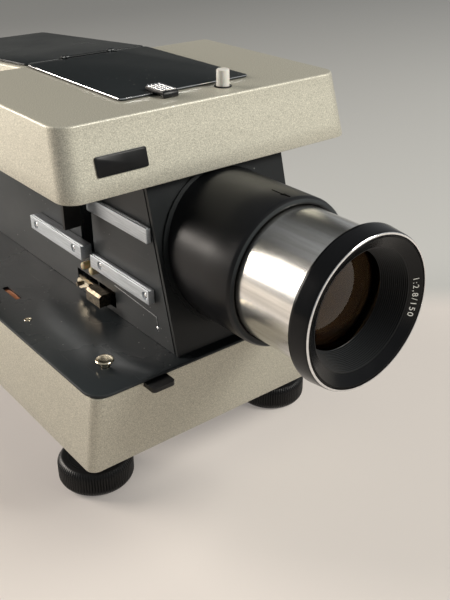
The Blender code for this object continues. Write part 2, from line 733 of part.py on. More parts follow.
def build_side_walls(root):
    """The spine's two walls, cut for the slide gate, the pegs and the indexing slider."""
    back = PANEL_THICKNESS / math.cos(PANEL_LEAN) + PANEL_SHADOW_GAP
    low = DECK_Z + GAP
    high = DECK_Z + SPINE_WALL_HEIGHT
    rear = LAMP_HOUSE_REAR_Y - LAMP_HOUSE_WALL - GRILLE_THICKNESS - 2 * GAP
    for label, side in SIDES.items():
        outline = [(panel_face_y(GAP) + back, low), (rear, low), (rear, high),
                   (panel_face_y(SPINE_WALL_HEIGHT) + back, high)]
        xs = sorted((side * (SPINE_HALF - SPINE_WALL), side * SPINE_HALF))
        wall = outline_solid("side_wall_" + label, outline, xs[0], xs[1], 0, "paint_dark_grey", root)
        near = SPINE_HALF - SPINE_WALL - OVERCUT
        far = SPINE_HALF + OVERCUT
        slot = side_box("gate_slot_" + label, side, near, far, (SLOT_FRONT_Y, DECK_Z + SLOT_LOW),
                        (SLOT_REAR_Y, high + OVERCUT), None, root)
        window = side_box("index_window_" + label, side, near, far,
                          (INDEX_WINDOW_FRONT_Y, DECK_Z + INDEX_WINDOW_LOW),
                          (INDEX_WINDOW_REAR_Y, DECK_Z + INDEX_WINDOW_HIGH), None, root)
        cut(wall, slot, window)
        for i, y in enumerate(PEG_YS):
            hole = cylinder("peg_hole_%s_%d" % (label, i), PEG_RADIUS + GAP,
                            (side * near, y, DECK_Z + PEG_HEIGHT), (side * far, y, DECK_Z + PEG_HEIGHT),
                            None, root)
            cut(wall, hole)


def build_lens_panel(root):
    """Leaning front panel of the spine with the raised ring round the lens tube."""
    lean = Matrix.Rotation(-PANEL_LEAN, 4, "X")
    foot = Vector((0.0, PANEL_FOOT_Y, DECK_Z + GAP))
    run = (PANEL_HEIGHT - GAP) / math.cos(PANEL_LEAN)
    bm = box_mesh((-SPINE_HALF, 0.0, 0.0), (SPINE_HALF, PANEL_THICKNESS, run))
    for vert in bm.verts:
        if vert.co.z < run / 2:
            vert.co.z += vert.co.y * math.tan(PANEL_LEAN)
    bmesh.ops.transform(bm, matrix=Matrix.Translation(foot) @ lean, verts=bm.verts)
    panel = add_object("lens_panel", bm, "paint_black", root)
    centre = Vector((0.0, panel_face_y(AXIS_HEIGHT_OVER_DECK), AXIS_Z))
    outward = lean @ Vector((0.0, -1.0, 0.0))
    ring = cylinder("panel_ring", PANEL_RING_RADIUS, centre - outward * (PANEL_THICKNESS / 2),
                    centre + outward * PANEL_RING_HEIGHT, None, root, segments=ROUND_SEGMENTS)
    bore = cylinder("panel_bore", MOUNT_TUBE_RADIUS + GAP, (0.0, MOUNT_TUBE_FRONT_Y, AXIS_Z),
                    (0.0, MOUNT_TUBE_REAR_Y, AXIS_Z), None, root, segments=ROUND_SEGMENTS)
    weld(panel, ring)
    cut(panel, bore)


def build_lens(root):
    """Mount tube on the spine, and the sliding lens: barrel, collar, baffle and two glasses."""
    centre = (0.0, 0.0, AXIS_Z)
    forward = (0, -1, 0)
    turned("lens_mount_tube",
           [(MOUNT_TUBE_BORE, -MOUNT_TUBE_FRONT_Y), (MOUNT_TUBE_RADIUS - TUBE_EDGE, -MOUNT_TUBE_FRONT_Y),
            (MOUNT_TUBE_RADIUS, -MOUNT_TUBE_FRONT_Y - TUBE_EDGE), (MOUNT_TUBE_RADIUS, -MOUNT_TUBE_REAR_Y),
            (MOUNT_TUBE_BORE, -MOUNT_TUBE_REAR_Y)], centre, forward, "anodised_black", root)
    pivot = empty("lens_slide", centre, root)
    turned("lens_barrel",
           [(BARREL_BORE, -BARREL_FRONT_Y), (BARREL_RADIUS - TUBE_EDGE, -BARREL_FRONT_Y),
            (BARREL_RADIUS, -BARREL_FRONT_Y - TUBE_EDGE), (BARREL_RADIUS, -BARREL_REAR_Y),
            (BARREL_BORE, -BARREL_REAR_Y)], centre, forward, "aluminium_polished", pivot)
    step_y = BARREL_FRONT_Y - GAP
    turned("front_collar",
           [(COLLAR_POCKET_RADIUS, -COLLAR_FRONT_Y), (COLLAR_FRONT_RADIUS - TUBE_EDGE, -COLLAR_FRONT_Y),
            (COLLAR_FRONT_RADIUS, -COLLAR_FRONT_Y - TUBE_EDGE), (COLLAR_RADIUS, -COLLAR_REAR_Y + TUBE_EDGE),
            (COLLAR_RADIUS - TUBE_EDGE, -COLLAR_REAR_Y), (BARREL_RADIUS + GAP, -COLLAR_REAR_Y),
            (BARREL_RADIUS + GAP, -step_y - GAP), (COLLAR_POCKET_RADIUS, -step_y - GAP)],
           centre, forward, "anodised_black", pivot)
    front_y = COLLAR_FRONT_Y + GAP
    name_rear_y = front_y + NAME_RING_DEPTH
    inner = []
    for i in range(BAFFLE_STEPS):
        for share, lift in ((0.0, BAFFLE_RIDGE), (0.5, 0.0)):
            part = (i + share) / BAFFLE_STEPS
            radius = NAME_RING_REAR_RADIUS + (BAFFLE_END_RADIUS - NAME_RING_REAR_RADIUS) * part
            inner.append((radius + BAFFLE_RIDGE - lift, -(name_rear_y + (BAFFLE_END_Y - name_rear_y) * part)))
    inner.append((BAFFLE_END_RADIUS, -BAFFLE_END_Y))
    outer = [(NAME_RING_FRONT_RADIUS, -front_y), (COLLAR_POCKET_RADIUS - GAP, -front_y),
             (COLLAR_POCKET_RADIUS - GAP, -step_y), (BARREL_BORE - GAP, -step_y),
             (BARREL_BORE - GAP, -BAFFLE_END_Y)]
    turned("baffle_ring", outer + list(reversed(inner)), centre, forward, "anodised_black", pivot, steps=32)
    glass_front = BAFFLE_END_Y + GAP
    turned("front_lens", lens_profile(BARREL_BORE - GAP, BAFFLE_END_RADIUS - GAP, -glass_front,
                                      FRONT_GLASS_THICKNESS, FRONT_GLASS_SAG, FRONT_GLASS_SAG / 2),
           centre, forward, "optical_glass", pivot, steps=32)
    turned("rear_lens", lens_profile(BARREL_BORE - GAP, BARREL_BORE - GAP - REAR_GLASS_SAG, -REAR_GLASS_Y,
                                     REAR_GLASS_THICKNESS, REAR_GLASS_SAG, REAR_GLASS_SAG),
           centre, forward, "optical_glass", pivot, steps=24)


def lens_profile(edge_radius, dome_radius, front, thickness, front_sag, rear_sag):
    """Half section of a round glass: a domed front, a cylindrical edge and a domed back."""
    dome = [(dome_radius * i / GLASS_RINGS, front + front_sag * (1 - (i / GLASS_RINGS) ** 2))
            for i in range(GLASS_RINGS)]
    back = [(dome_radius * i / GLASS_RINGS, front - thickness - rear_sag * (1 - (i / GLASS_RINGS) ** 2))
            for i in range(GLASS_RINGS)]
    rim = [(dome_radius, front), (edge_radius, front), (edge_radius, front - thickness),
           (dome_radius, front - thickness)]
    return dome + rim + list(reversed(back))


def rounded_skin(name, corners, vertical_edges, finish_name, root, open_front):
    """Skin of a moulded hood: a tapered box, its upright corners and top edges rounded,
    without its bottom, and without its front where the next hood meets it."""
    low, high, shape = corners
    bm = box_mesh(low, high)
    for vert in bm.verts:
        vert.co = Vector(shape(vert.co))
    for rule, radius in vertical_edges:
        round_edges(bm, edges_along(bm, 2, rule), radius)
    bm.normal_update()
    top = [face for face in bm.faces if face.normal.z > 0.9]
    rim = [edge for edge in bm.edges if len([f for f in edge.link_faces if f in top]) == 1]
    if open_front:
        front_y = min(vert.co.y for vert in bm.verts)
        rim = [edge for edge in rim
               if not all(abs(vert.co.y - front_y) < GAP for vert in edge.verts)]
    round_edges(bm, rim, COVER_EDGE_RADIUS, 3)
    bm.normal_update()
    gone = [face for face in bm.faces if face.normal.z < -0.9
            or (open_front and face.normal.y < -0.9)]
    bmesh.ops.delete(bm, geom=gone, context="FACES_ONLY")
    return add_object(name, bm, finish_name, root)


def build_top_cover(root):
    """Enamelled hood that spreads over both tracks like a roof."""
    bottom = DECK_Z + COVER_BOTTOM_OVER_DECK
    top = DECK_Z + COVER_TOP_OVER_DECK
    flare = COVER_BOTTOM_WIDTH / COVER_TOP_WIDTH

    def shape(place):
        x, y, z = place
        if z < (bottom + top) / 2:
            x *= flare
            if y < RIDGE_Y / 2:
                y = COVER_FRONT_BOTTOM_Y
        return x, y, z

    half = COVER_TOP_WIDTH / 2
    corners = ((-half, COVER_FRONT_TOP_Y, bottom), (half, RIDGE_Y, top), shape)
    edges = [(lambda middle: middle.y < RIDGE_Y / 2, COVER_CORNER_RADIUS),
             (lambda middle: middle.y > RIDGE_Y * 0.97, COVER_REAR_CORNER_RADIUS)]
    cover = rounded_skin("top_cover", corners, edges, "enamel_beige", root, False)
    shell(cover, COVER_WALL)
    margin = FLAP_OPENING_MARGIN
    opening = box("flap_opening", (-FLAP_WIDTH / 2 + margin, FLAP_FRONT_Y + margin, top - COVER_WALL - OVERCUT),
                  (FLAP_WIDTH / 2 - margin, RIDGE_Y - COVER_WALL - margin, top + OVERCUT), None, root,
                  round_axis=2, radius=FLAP_CORNER_RADIUS)
    clear = SPINE_HALF + COVER_WINDOW_SIDE_GAP
    window = box("ridge_window", (-clear, RIDGE_Y - COVER_WALL - OVERCUT, bottom - OVERCUT),
                 (clear, RIDGE_Y + OVERCUT, top - COVER_WINDOW_TOP_DROP), None, root)
    rod = cylinder("rod_hole", ROD_RADIUS + GAP, (ROD_X, ROD_Y, top - COVER_WALL - OVERCUT),
                   (ROD_X, ROD_Y, top + OVERCUT), None, root)
    cut(cover, opening, window, rod)


def roof_z(y):
    """Height of the lamp house's roof at a place behind the ridge."""
    return DECK_Z + COVER_TOP_OVER_DECK - (y - RIDGE_Y) * math.tan(TOP_FALL)


def build_lamp_house(root):
    """Narrow enamelled hood over the lamp, its roof falling to the back, its front open."""
    bottom = DECK_Z + COVER_BOTTOM_OVER_DECK
    top = DECK_Z + COVER_TOP_OVER_DECK
    flare = LAMP_HOUSE_BOTTOM_WIDTH / LAMP_HOUSE_TOP_WIDTH
    front = RIDGE_Y + GAP

    def shape(place):
        x, y, z = place
        if z < (bottom + top) / 2:
            x *= flare
        else:
            z = roof_z(y)
        return x, y, z

    half = LAMP_HOUSE_TOP_WIDTH / 2
    corners = ((-half, front, bottom), (half, LAMP_HOUSE_REAR_Y, top), shape)
    edges = [(lambda middle: middle.y > RIDGE_Y * 1.5, LAMP_HOUSE_CORNER_RADIUS)]
    house = rounded_skin("lamp_house", corners, edges, "enamel_beige", root, True)
    shell(house, LAMP_HOUSE_WALL)
    margin = FLAP_OPENING_MARGIN
    opening = box("lamp_opening", (-FLAP_WIDTH / 2 + margin, front + margin * 2, bottom),
                  (FLAP_WIDTH / 2 - margin, RIDGE_Y + REAR_PANEL_LENGTH - margin * 2, top + OVERCUT),
                  None, root)
    cut(house, opening)


def build_flap_and_panel(root):
    """Hinged black flap, the sloping black panel behind it and the pin between them."""
    top = DECK_Z + COVER_TOP_OVER_DECK
    low = top + GAP
    high = low + FLAP_THICKNESS
    half = FLAP_WIDTH / 2
    pivot = empty("flap_hinge", (0.0, RIDGE_Y, HINGE_Z), root)
    flap = box("flap", (-half, FLAP_FRONT_Y, low), (half, RIDGE_Y - HINGE_GAP, high), "paint_black", pivot,
               round_axis=2, radius=FLAP_CORNER_RADIUS)
    start = Vector((0.0, RIDGE_Y, top))
    fall = Matrix.Translation(start) @ Matrix.Rotation(-TOP_FALL, 4, "X") @ Matrix.Translation(-start)
    bm = box_mesh((-half, RIDGE_Y + HINGE_GAP, low), (half, RIDGE_Y + REAR_PANEL_LENGTH, high))
    round_edges(bm, edges_along(bm, 2, lambda middle: middle.y > RIDGE_Y * 1.5), FLAP_CORNER_RADIUS)
    bmesh.ops.transform(bm, matrix=fall, verts=bm.verts)
    panel = add_object("rear_panel", bm, "paint_black", root)
    for label, side in SIDES.items():
        near = sorted((side * (KNUCKLE_X - KNUCKLE_LENGTH), side * (KNUCKLE_X - GAP / 2)))
        far = sorted((side * (KNUCKLE_X + GAP / 2), side * (KNUCKLE_X + KNUCKLE_LENGTH)))
        weld(flap, *knuckle("flap_knuckle_" + label, near, -1, pivot))
        weld(panel, *knuckle("panel_knuckle_" + label, far, 1, root))
        cut(panel, knuckle_room("flap_knuckle_room_" + label, near, root))
        cut(flap, knuckle_room("panel_knuckle_room_" + label, far, pivot))
    for target, owner, label in ((flap, pivot, "flap_pin_bore"), (panel, root, "panel_pin_bore")):
        bore = cylinder(label, HINGE_PIN_RADIUS + GAP / 2, (-half, RIDGE_Y, HINGE_Z), (half, RIDGE_Y, HINGE_Z),
                        None, owner, segments=12)
        cut(target, bore)
    reach = KNUCKLE_X + KNUCKLE_LENGTH + GAP
    cylinder("hinge_pin", HINGE_PIN_RADIUS, (-reach, RIDGE_Y, HINGE_Z), (reach, RIDGE_Y, HINGE_Z),
             "steel_zinc", root, segments=12)


def knuckle(name, xs, toward, parent):
    """Guides for one hinge knuckle: a round eye and the foot that reaches into its plate."""
    eye = cylinder(name + "_eye", KNUCKLE_RADIUS, (xs[0], RIDGE_Y, HINGE_Z), (xs[1], RIDGE_Y, HINGE_Z),
                   None, parent, segments=16)
    ys = sorted((RIDGE_Y, RIDGE_Y + toward * (HINGE_GAP + FLAP_THICKNESS)))
    foot = box(name + "_foot", (xs[0], ys[0], HINGE_Z - GAP - FLAP_THICKNESS / 2), (xs[1], ys[1], HINGE_Z),
               None, parent)
    return eye, foot


def knuckle_room(name, xs, parent):
    """Guide that clears one plate round the other plate's knuckle."""
    return cylinder(name, KNUCKLE_RADIUS + GAP, (xs[0] - GAP, RIDGE_Y, HINGE_Z), (xs[1] + GAP, RIDGE_Y, HINGE_Z),
                    None, parent, segments=16)


def build_catch_and_rod(root):
    """Ribbed catch that slides on the flap, and the frosted push rod in front of it."""
    top = DECK_Z + COVER_TOP_OVER_DECK
    over_flap = top + GAP + FLAP_THICKNESS + GAP
    hinge = bpy.data.objects["flap_hinge"]
    pivot = empty("catch_slide", (CATCH_X, CATCH_FRONT_Y, over_flap), hinge)
    low_x = CATCH_X - CATCH_WIDTH / 2
    high_x = CATCH_X + CATCH_WIDTH / 2
    pitch = (CATCH_REAR_Y - CATCH_FRONT_Y) / (CATCH_RIBS + 1)
    crown = over_flap + CATCH_HEIGHT
    nose = top + GAP
    nose_rear = FLAP_FRONT_Y - CATCH_TRAVEL - 2 * GAP
    outline = [(CATCH_FRONT_Y, nose), (nose_rear, nose), (nose_rear, over_flap),
               (CATCH_REAR_Y, over_flap), (CATCH_REAR_Y, over_flap + CATCH_TAIL_HEIGHT)]
    for i in range(CATCH_RIBS, 0, -1):
        y = CATCH_FRONT_Y + pitch * (i + 0.4)
        outline += [(y + CATCH_GROOVE, crown), (y, crown), (y - CATCH_GROOVE / 2, crown - CATCH_GROOVE)]
    outline += [(CATCH_FRONT_Y + pitch / 2, crown - CATCH_GROOVE), (CATCH_FRONT_Y, nose + CATCH_TAIL_HEIGHT)]
    outline_solid("flap_catch", outline, low_x, high_x, 0, "steel_zinc", pivot)
    rod_pivot = empty("rod_slide", (ROD_X, ROD_Y, top), root)
    flange = top - COVER_WALL - GAP
    turned("push_rod",
           [(0.0, top + ROD_RISE), (ROD_RADIUS - ROD_EDGE, top + ROD_RISE), (ROD_RADIUS, top + ROD_RISE - ROD_EDGE),
            (ROD_RADIUS, flange), (ROD_FLANGE_RADIUS, flange), (ROD_FLANGE_RADIUS, flange - ROD_FLANGE_HEIGHT),
            (ROD_RADIUS, flange - ROD_FLANGE_HEIGHT), (ROD_RADIUS, top - ROD_TAIL), (0.0, top - ROD_TAIL)],
           (ROD_X, ROD_Y, 0.0), (0, 0, 1), "acrylic_frosted", rod_pivot, steps=SMALL_SEGMENTS)


def build_rails(root):
    """Aluminium magazine rails, each an L whose thin flange rises behind its top edge."""
    for label, side in SIDES.items():
        for place, rail in RAILS.items():
            seat = SPINE_HALF + GAP
            outline = [(seat, DECK_Z + rail["low"]), (seat + rail["depth"], DECK_Z + rail["low"]),
                       (seat + rail["depth"], DECK_Z + rail["high"]),
                       (seat + RAIL_FLANGE, DECK_Z + rail["high"]),
                       (seat + RAIL_FLANGE, DECK_Z + rail["high"] + RAIL_FLANGE_RISE),
                       (seat, DECK_Z + rail["high"] + RAIL_FLANGE_RISE)]
            if side < 0:
                outline = mirrored(outline)
            name = "rail_%s_%s" % (label, place)
            outline_solid(name, outline, rail["start"], rail["end"], 1, "aluminium_satin", root)


def build_gate(root):
    """Fixed plate of the slide gate with its square aperture and the shelf for the bar."""
    low = DECK_Z + GAP
    high = DECK_Z + SPINE_WALL_HEIGHT
    plate = box("gate_plate", (-GATE_HALF_WIDTH, GATE_Y, low), (GATE_HALF_WIDTH, GATE_Y + GATE_THICKNESS, high),
                "paint_black", root)
    shelf_top = DECK_Z + BAR_LOW - GAP
    shelf = box("gate_shelf", (-GATE_SHELF_HALF_WIDTH, GATE_Y + GATE_THICKNESS / 2, shelf_top - GATE_SHELF_THICKNESS),
                (GATE_SHELF_HALF_WIDTH, BAR_FRONT_Y + BAR_DEPTH + GATE_SHELF_REACH, shelf_top), None, root)
    lip = box("gate_lip", (-GATE_SHELF_HALF_WIDTH, GATE_Y, high - GATE_SHELF_THICKNESS),
              (GATE_SHELF_HALF_WIDTH, GATE_Y + GATE_THICKNESS, shelf_top), None, root)
    aperture = box("gate_aperture", (-GATE_APERTURE / 2, GATE_Y - OVERCUT, AXIS_Z - GATE_APERTURE / 2),
                   (GATE_APERTURE / 2, GATE_Y + GATE_THICKNESS + OVERCUT, AXIS_Z + GATE_APERTURE / 2), None, root)
    weld(plate, lip, shelf)
    cut(plate, aperture)


def build_changer(root):
    """Guide bar across the gate, and one changer arm for each track that slides on it."""
    bar_low = DECK_Z + BAR_LOW
    box("changer_bar", (-BAR_HALF_LENGTH, BAR_FRONT_Y, bar_low),
        (BAR_HALF_LENGTH, BAR_FRONT_Y + BAR_DEPTH, bar_low + BAR_HEIGHT), "steel_zinc", root)
    block_low = bar_low - GAP - CARRIAGE_WALL
    block_high = bar_low + BAR_HEIGHT + GAP + CARRIAGE_TOP
    web_front = ARM_FRONT_Y
    for label, side in SIDES.items():
        pivot = empty("changer_slide_" + label, (side * ARM_OUTER_X, BAR_FRONT_Y, bar_low), root)
        outer = ARM_OUTER_X + (CARRIAGE_WIDTH - ARM_WIDTH) / 2
        arm = side_box("changer_arm_" + label, side, outer - CARRIAGE_WIDTH, outer,
                       (BAR_FRONT_Y - GAP - CARRIAGE_TOP, block_low),
                       (BAR_FRONT_Y + BAR_DEPTH + GAP + CARRIAGE_WALL, block_high), "paint_black", pivot)
        web = side_box("arm_web_" + label, side, ARM_OUTER_X - ARM_WIDTH, ARM_OUTER_X,
                       (web_front, block_low + CARRIAGE_WALL), (BAR_FRONT_Y - CARRIAGE_WALL, block_high - GAP),
                       None, pivot)
        blade = side_box("arm_blade_" + label, side, ARM_OUTER_X - ARM_WIDTH, ARM_OUTER_X,
                         (web_front, DECK_Z + ARM_LOW), (web_front + ARM_THICKNESS, block_high - GAP), None, pivot)
        bore = side_box("arm_bore_" + label, side, outer - CARRIAGE_WIDTH - OVERCUT, outer + OVERCUT,
                        (BAR_FRONT_Y - GAP, bar_low - GAP),
                        (BAR_FRONT_Y + BAR_DEPTH + GAP, bar_low + BAR_HEIGHT + GAP), None, pivot)
        weld(arm, web, blade)
        cut(arm, bore)


def build_pegs(root):
    """Pair of nylon guide pegs on a plate inside each wall."""
    inner = SPINE_HALF - SPINE_WALL - GAP
    for label, side in SIDES.items():
        plate = side_box("guide_pegs_" + label, side, inner - PEG_PLATE_THICKNESS, inner,
                         (PEG_YS[0] - PEG_PLATE_MARGIN, DECK_Z + PEG_HEIGHT - PEG_PLATE_MARGIN),
                         (PEG_YS[1] + PEG_PLATE_MARGIN, DECK_Z + PEG_HEIGHT + PEG_PLATE_MARGIN),
                         "nylon_cream", root)
        tip = SPINE_HALF + PEG_LENGTH
        start = inner - PEG_PLATE_THICKNESS / 2
        profile = [(0.0, tip)]
        profile += [(PEG_RADIUS * math.sin(angle), tip - PEG_RADIUS / 2 * (1 - math.cos(angle)))
                    for angle in (math.pi / 6, math.pi / 3, math.pi / 2)]
        profile += [(PEG_RADIUS, start), (0.0, start)]
        for i, y in enumerate(PEG_YS):
            peg = turned("peg_%s_%d" % (label, i), profile, (0.0, y, DECK_Z + PEG_HEIGHT), (side, 0, 0), None, root,
                         steps=16)
            weld(plate, peg)


def build_indexing(root):
    """Black slider that steps the magazine along, and the nickelled pawl on its tail."""
    for label, side in SIDES.items():
        slide = empty("index_slide_" + label, (side * SPINE_HALF, SLIDER_FRONT_Y, DECK_Z), root)
        inner = SPINE_HALF + SLIDER_STANDOFF
        outer = SPINE_HALF + SLIDER_DEPTH
        low = DECK_Z + SLIDER_LOW
        high = DECK_Z + SLIDER_HIGH
        outline = [(inner, low), (outer, low), (outer, high - SLIDER_CHAMFER), (outer - SLIDER_CHAMFER, high),
                   (inner, high)]
        if side < 0:
            outline = mirrored(outline)
        slider = outline_solid("index_slider_" + label, outline, SLIDER_FRONT_Y, SLIDER_REAR_Y, 1,
                               "plastic_black", slide)
        foot_far = SPINE_HALF - SPINE_WALL - GAP
        tongue = side_box("slider_tongue_" + label, side, foot_far - SLIDER_FOOT_DEPTH, inner + SLIDER_CHAMFER,
                          (SLIDER_FRONT_Y + SLIDER_FOOT_INSET, low + GAP),
                          (SLIDER_REAR_Y - SLIDER_FOOT_INSET, high - SLIDER_FOOT_INSET), None, slide)
        foot = side_box("slider_foot_" + label, side, foot_far - SLIDER_FOOT_DEPTH, foot_far,
                        (SLIDER_FRONT_Y + SLIDER_FOOT_INSET, DECK_Z + GAP),
                        (SLIDER_REAR_Y - SLIDER_FOOT_INSET, high - SLIDER_FOOT_INSET), None, slide)
        tail = side_box("slider_tail_" + label, side, inner, inner + TAIL_THICKNESS,
                        (SLIDER_REAR_Y - SLIDER_FOOT_INSET, low), (TAIL_REAR_Y, high - GAP), None, slide)
        pin_x = inner + TAIL_THICKNESS
        pin = cylinder("pawl_pin_" + label, PAWL_PIN_RADIUS,
                       (side * (inner + GAP), PAWL_PIVOT_Y, DECK_Z + PAWL_PIVOT_HEIGHT),
                       (side * (pin_x + PAWL_PIN_LENGTH), PAWL_PIVOT_Y, DECK_Z + PAWL_PIVOT_HEIGHT),
                       None, slide, segments=12)
        weld(slider, tongue, foot, tail, pin)
        build_pawl(label, side, pin_x + GAP, slide)


def build_pawl(label, side, near, slide):
    """Pawl of one side: a round eye on the slider's pin and a tapering finger."""
    pivot = empty("pawl_axis_" + label, (side * near, PAWL_PIVOT_Y, DECK_Z + PAWL_PIVOT_HEIGHT), slide)
    centre = (PAWL_PIVOT_Y, DECK_Z + PAWL_PIVOT_HEIGHT)
    outline = arc(centre, PAWL_EYE_RADIUS, -math.pi * 0.45, math.pi * 0.62, 12)
    tip_y = PAWL_PIVOT_Y - PAWL_REACH
    outline += [(tip_y, centre[1] + PAWL_TIP_HEIGHT), (tip_y, centre[1] + PAWL_TIP_HEIGHT / 2)]
    xs = sorted((side * near, side * (near + PAWL_THICKNESS)))
    pawl = outline_solid("index_pawl_" + label, outline, xs[0], xs[1], 0, "nickel", pivot)
    bore = cylinder("pawl_bore_" + label, PAWL_PIN_RADIUS + GAP,
                    (xs[0] - OVERCUT, centre[0], centre[1]), (xs[1] + OVERCUT, centre[0], centre[1]),
                    None, pivot, segments=12)
    cut(pawl, bore)


def build_deck_fittings(root):
    """Sprung stop stud and release key of each track."""
    under = DECK_Z - DECK_THICKNESS - GAP
    for label, side in SIDES.items():
        x = side * STUD_X
        stud_pivot = empty("stud_slide_" + label, (x, STUD_Y, DECK_Z), root)
        head_low = DECK_Z + STUD_STAND
        dome = [(STUD_HEAD_RADIUS * math.sin(angle), head_low + STUD_HEAD_HEIGHT * math.cos(angle) ** 0.6)
                for angle in (math.pi / 6, math.pi / 3, math.pi * 0.45)]
        turned("stop_stud_" + label,
               [(0.0, head_low + STUD_HEAD_HEIGHT)] + dome
               + [(STUD_HEAD_RADIUS, head_low), (STUD_STEM_RADIUS, head_low), (STUD_STEM_RADIUS, under),
                  (STUD_FLANGE_RADIUS, under), (STUD_FLANGE_RADIUS, under - STUD_HEAD_HEIGHT),
                  (STUD_STEM_RADIUS, under - STUD_HEAD_HEIGHT),
                  (STUD_STEM_RADIUS, under - STUD_HEAD_HEIGHT - STUD_TAIL),
                  (0.0, under - STUD_HEAD_HEIGHT - STUD_TAIL)],
               (x, STUD_Y, 0.0), (0, 0, 1), "nickel", stud_pivot, steps=SMALL_SEGMENTS)
        key_pivot = empty("key_slide_" + label, (side * KEY_OUTER_X, 0.0, under), root)
        near = KEY_OUTER_X - KEY_WIDTH
        r = KEY_CORNER_RADIUS
        head = (KEY_HEAD_WIDTH - KEY_WIDTH) / 2
        outline = arc((near + r, KEY_FRONT_Y + r), r, math.pi, 1.5 * math.pi, CORNER_SEGMENTS)
        outline += arc((KEY_OUTER_X - r, KEY_FRONT_Y + r), r, 1.5 * math.pi, 2 * math.pi, CORNER_SEGMENTS)
        outline += [(KEY_OUTER_X, KEY_REAR_Y - KEY_HEAD_DEPTH), (KEY_OUTER_X + head, KEY_REAR_Y - KEY_HEAD_DEPTH),
                    (KEY_OUTER_X + head, KEY_REAR_Y), (near - head, KEY_REAR_Y),
                    (near - head, KEY_REAR_Y - KEY_HEAD_DEPTH), (near, KEY_REAR_Y - KEY_HEAD_DEPTH)]
        if side < 0:
            outline = mirrored(outline)
        outline_solid("release_key_" + label, outline, under - KEY_THICKNESS, under, 2, "plastic_black", key_pivot)


def build_condenser(root):
    """Holder on the deck with three upright plates, two condenser glasses and the heat filter."""
    low = DECK_Z + GAP
    front = HOLDER_YS[0]
    rear = HOLDER_YS[-1] + HOLDER_PLATE
    holder = box("condenser_holder", (-HOLDER_HALF_WIDTH, front, low), (HOLDER_HALF_WIDTH, rear, low + HOLDER_FLOOR),
                 "aluminium_satin", root)
    for i, y in enumerate(HOLDER_YS):
        plate = box("holder_plate_%d" % i, (-HOLDER_HALF_WIDTH, y, low),
                    (HOLDER_HALF_WIDTH, y + HOLDER_PLATE, low + HOLDER_HEIGHT), None, root)
        bore = cylinder("holder_bore_%d" % i, CONDENSER_RADIUS + GAP, (0.0, y - OVERCUT, AXIS_Z),
                        (0.0, y + HOLDER_PLATE + OVERCUT, AXIS_Z), None, root, segments=ROUND_SEGMENTS)
        weld(holder, plate)
        cut(holder, bore)
    edge = (HOLDER_PLATE - CONDENSER_EDGE) / 2
    for name, y, front_sag, rear_sag, thickness in (
            ("condenser_front", HOLDER_YS[0], CONDENSER_SAG, 0.0, CONDENSER_EDGE),
            ("heat_filter", HOLDER_YS[1], 0.0, 0.0, FILTER_THICKNESS),
            ("condenser_rear", HOLDER_YS[2], CONDENSER_SAG, 0.0, CONDENSER_EDGE)):
        face = y + edge
        if front_sag > 0:
            profile = lens_profile(CONDENSER_RADIUS, CONDENSER_RADIUS - CONDENSER_EDGE / 2, -face, thickness,
                                   front_sag, rear_sag)
            profile = profile[:GLASS_RINGS + 3] + [(0.0, -face - thickness)]
        else:
            profile = [(0.0, -face), (CONDENSER_RADIUS, -face), (CONDENSER_RADIUS, -face - thickness),
                       (0.0, -face - thickness)]
        turned(name, profile, (0.0, 0.0, AXIS_Z), (0, -1, 0), "optical_glass", root, steps=32)


def build_lamp(root):
    """Lamp in its ceramic socket and the concave mirror behind it."""
    low = DECK_Z + GAP
    top = low + SOCKET_HEIGHT
    half = SOCKET_SIZE / 2
    socket = box("lamp_socket", (-half, SOCKET_Y - half, low), (half, SOCKET_Y + half, top), "ceramic", root,
                 round_axis=2, radius=COVER_REAR_CORNER_RADIUS)
    bore = cylinder("socket_bore", LAMP_PIN_RADIUS + GAP, (0.0, SOCKET_Y, top - LAMP_PIN_HEIGHT - GAP),
                    (0.0, SOCKET_Y, top + OVERCUT), None, root)
    cut(socket, bore)
    neck = top + LAMP_PIN_RADIUS
    crown = neck + LAMP_BULB_LENGTH
    dome = [(LAMP_BULB_RADIUS * math.sin(angle), crown - LAMP_BULB_RADIUS * (1 - math.cos(angle)))
            for angle in (math.pi / 6, math.pi / 3, math.pi / 2)]
    turned("lamp", [(0.0, crown)] + dome
           + [(LAMP_BULB_RADIUS, neck), (LAMP_PIN_RADIUS, neck - LAMP_PIN_RADIUS / 2),
              (LAMP_PIN_RADIUS, top - LAMP_PIN_HEIGHT), (0.0, top - LAMP_PIN_HEIGHT)],
           (0.0, SOCKET_Y, 0.0), (0, 0, 1), "lamp_glass", root, steps=SMALL_SEGMENTS)
    shares = [i / GLASS_RINGS for i in range(GLASS_RINGS + 1)]
    face = [(MIRROR_RADIUS * share, -MIRROR_Y + MIRROR_SAG * share ** 2) for share in shares]
    back = [(radius, place - MIRROR_THICKNESS) for radius, place in face]
    mirror = turned("mirror", face + list(reversed(back)), (0.0, 0.0, AXIS_Z), (0, -1, 0), "aluminium_polished",
                    root, steps=24)
    post = box("mirror_post", (-MIRROR_POST_WIDTH / 2, MIRROR_Y + MIRROR_THICKNESS / 4, low),
               (MIRROR_POST_WIDTH / 2, MIRROR_Y + MIRROR_THICKNESS / 4 + HOLDER_FLOOR,
                AXIS_Z + MIRROR_POST_WIDTH / 3), None, root)
    weld(mirror, post)


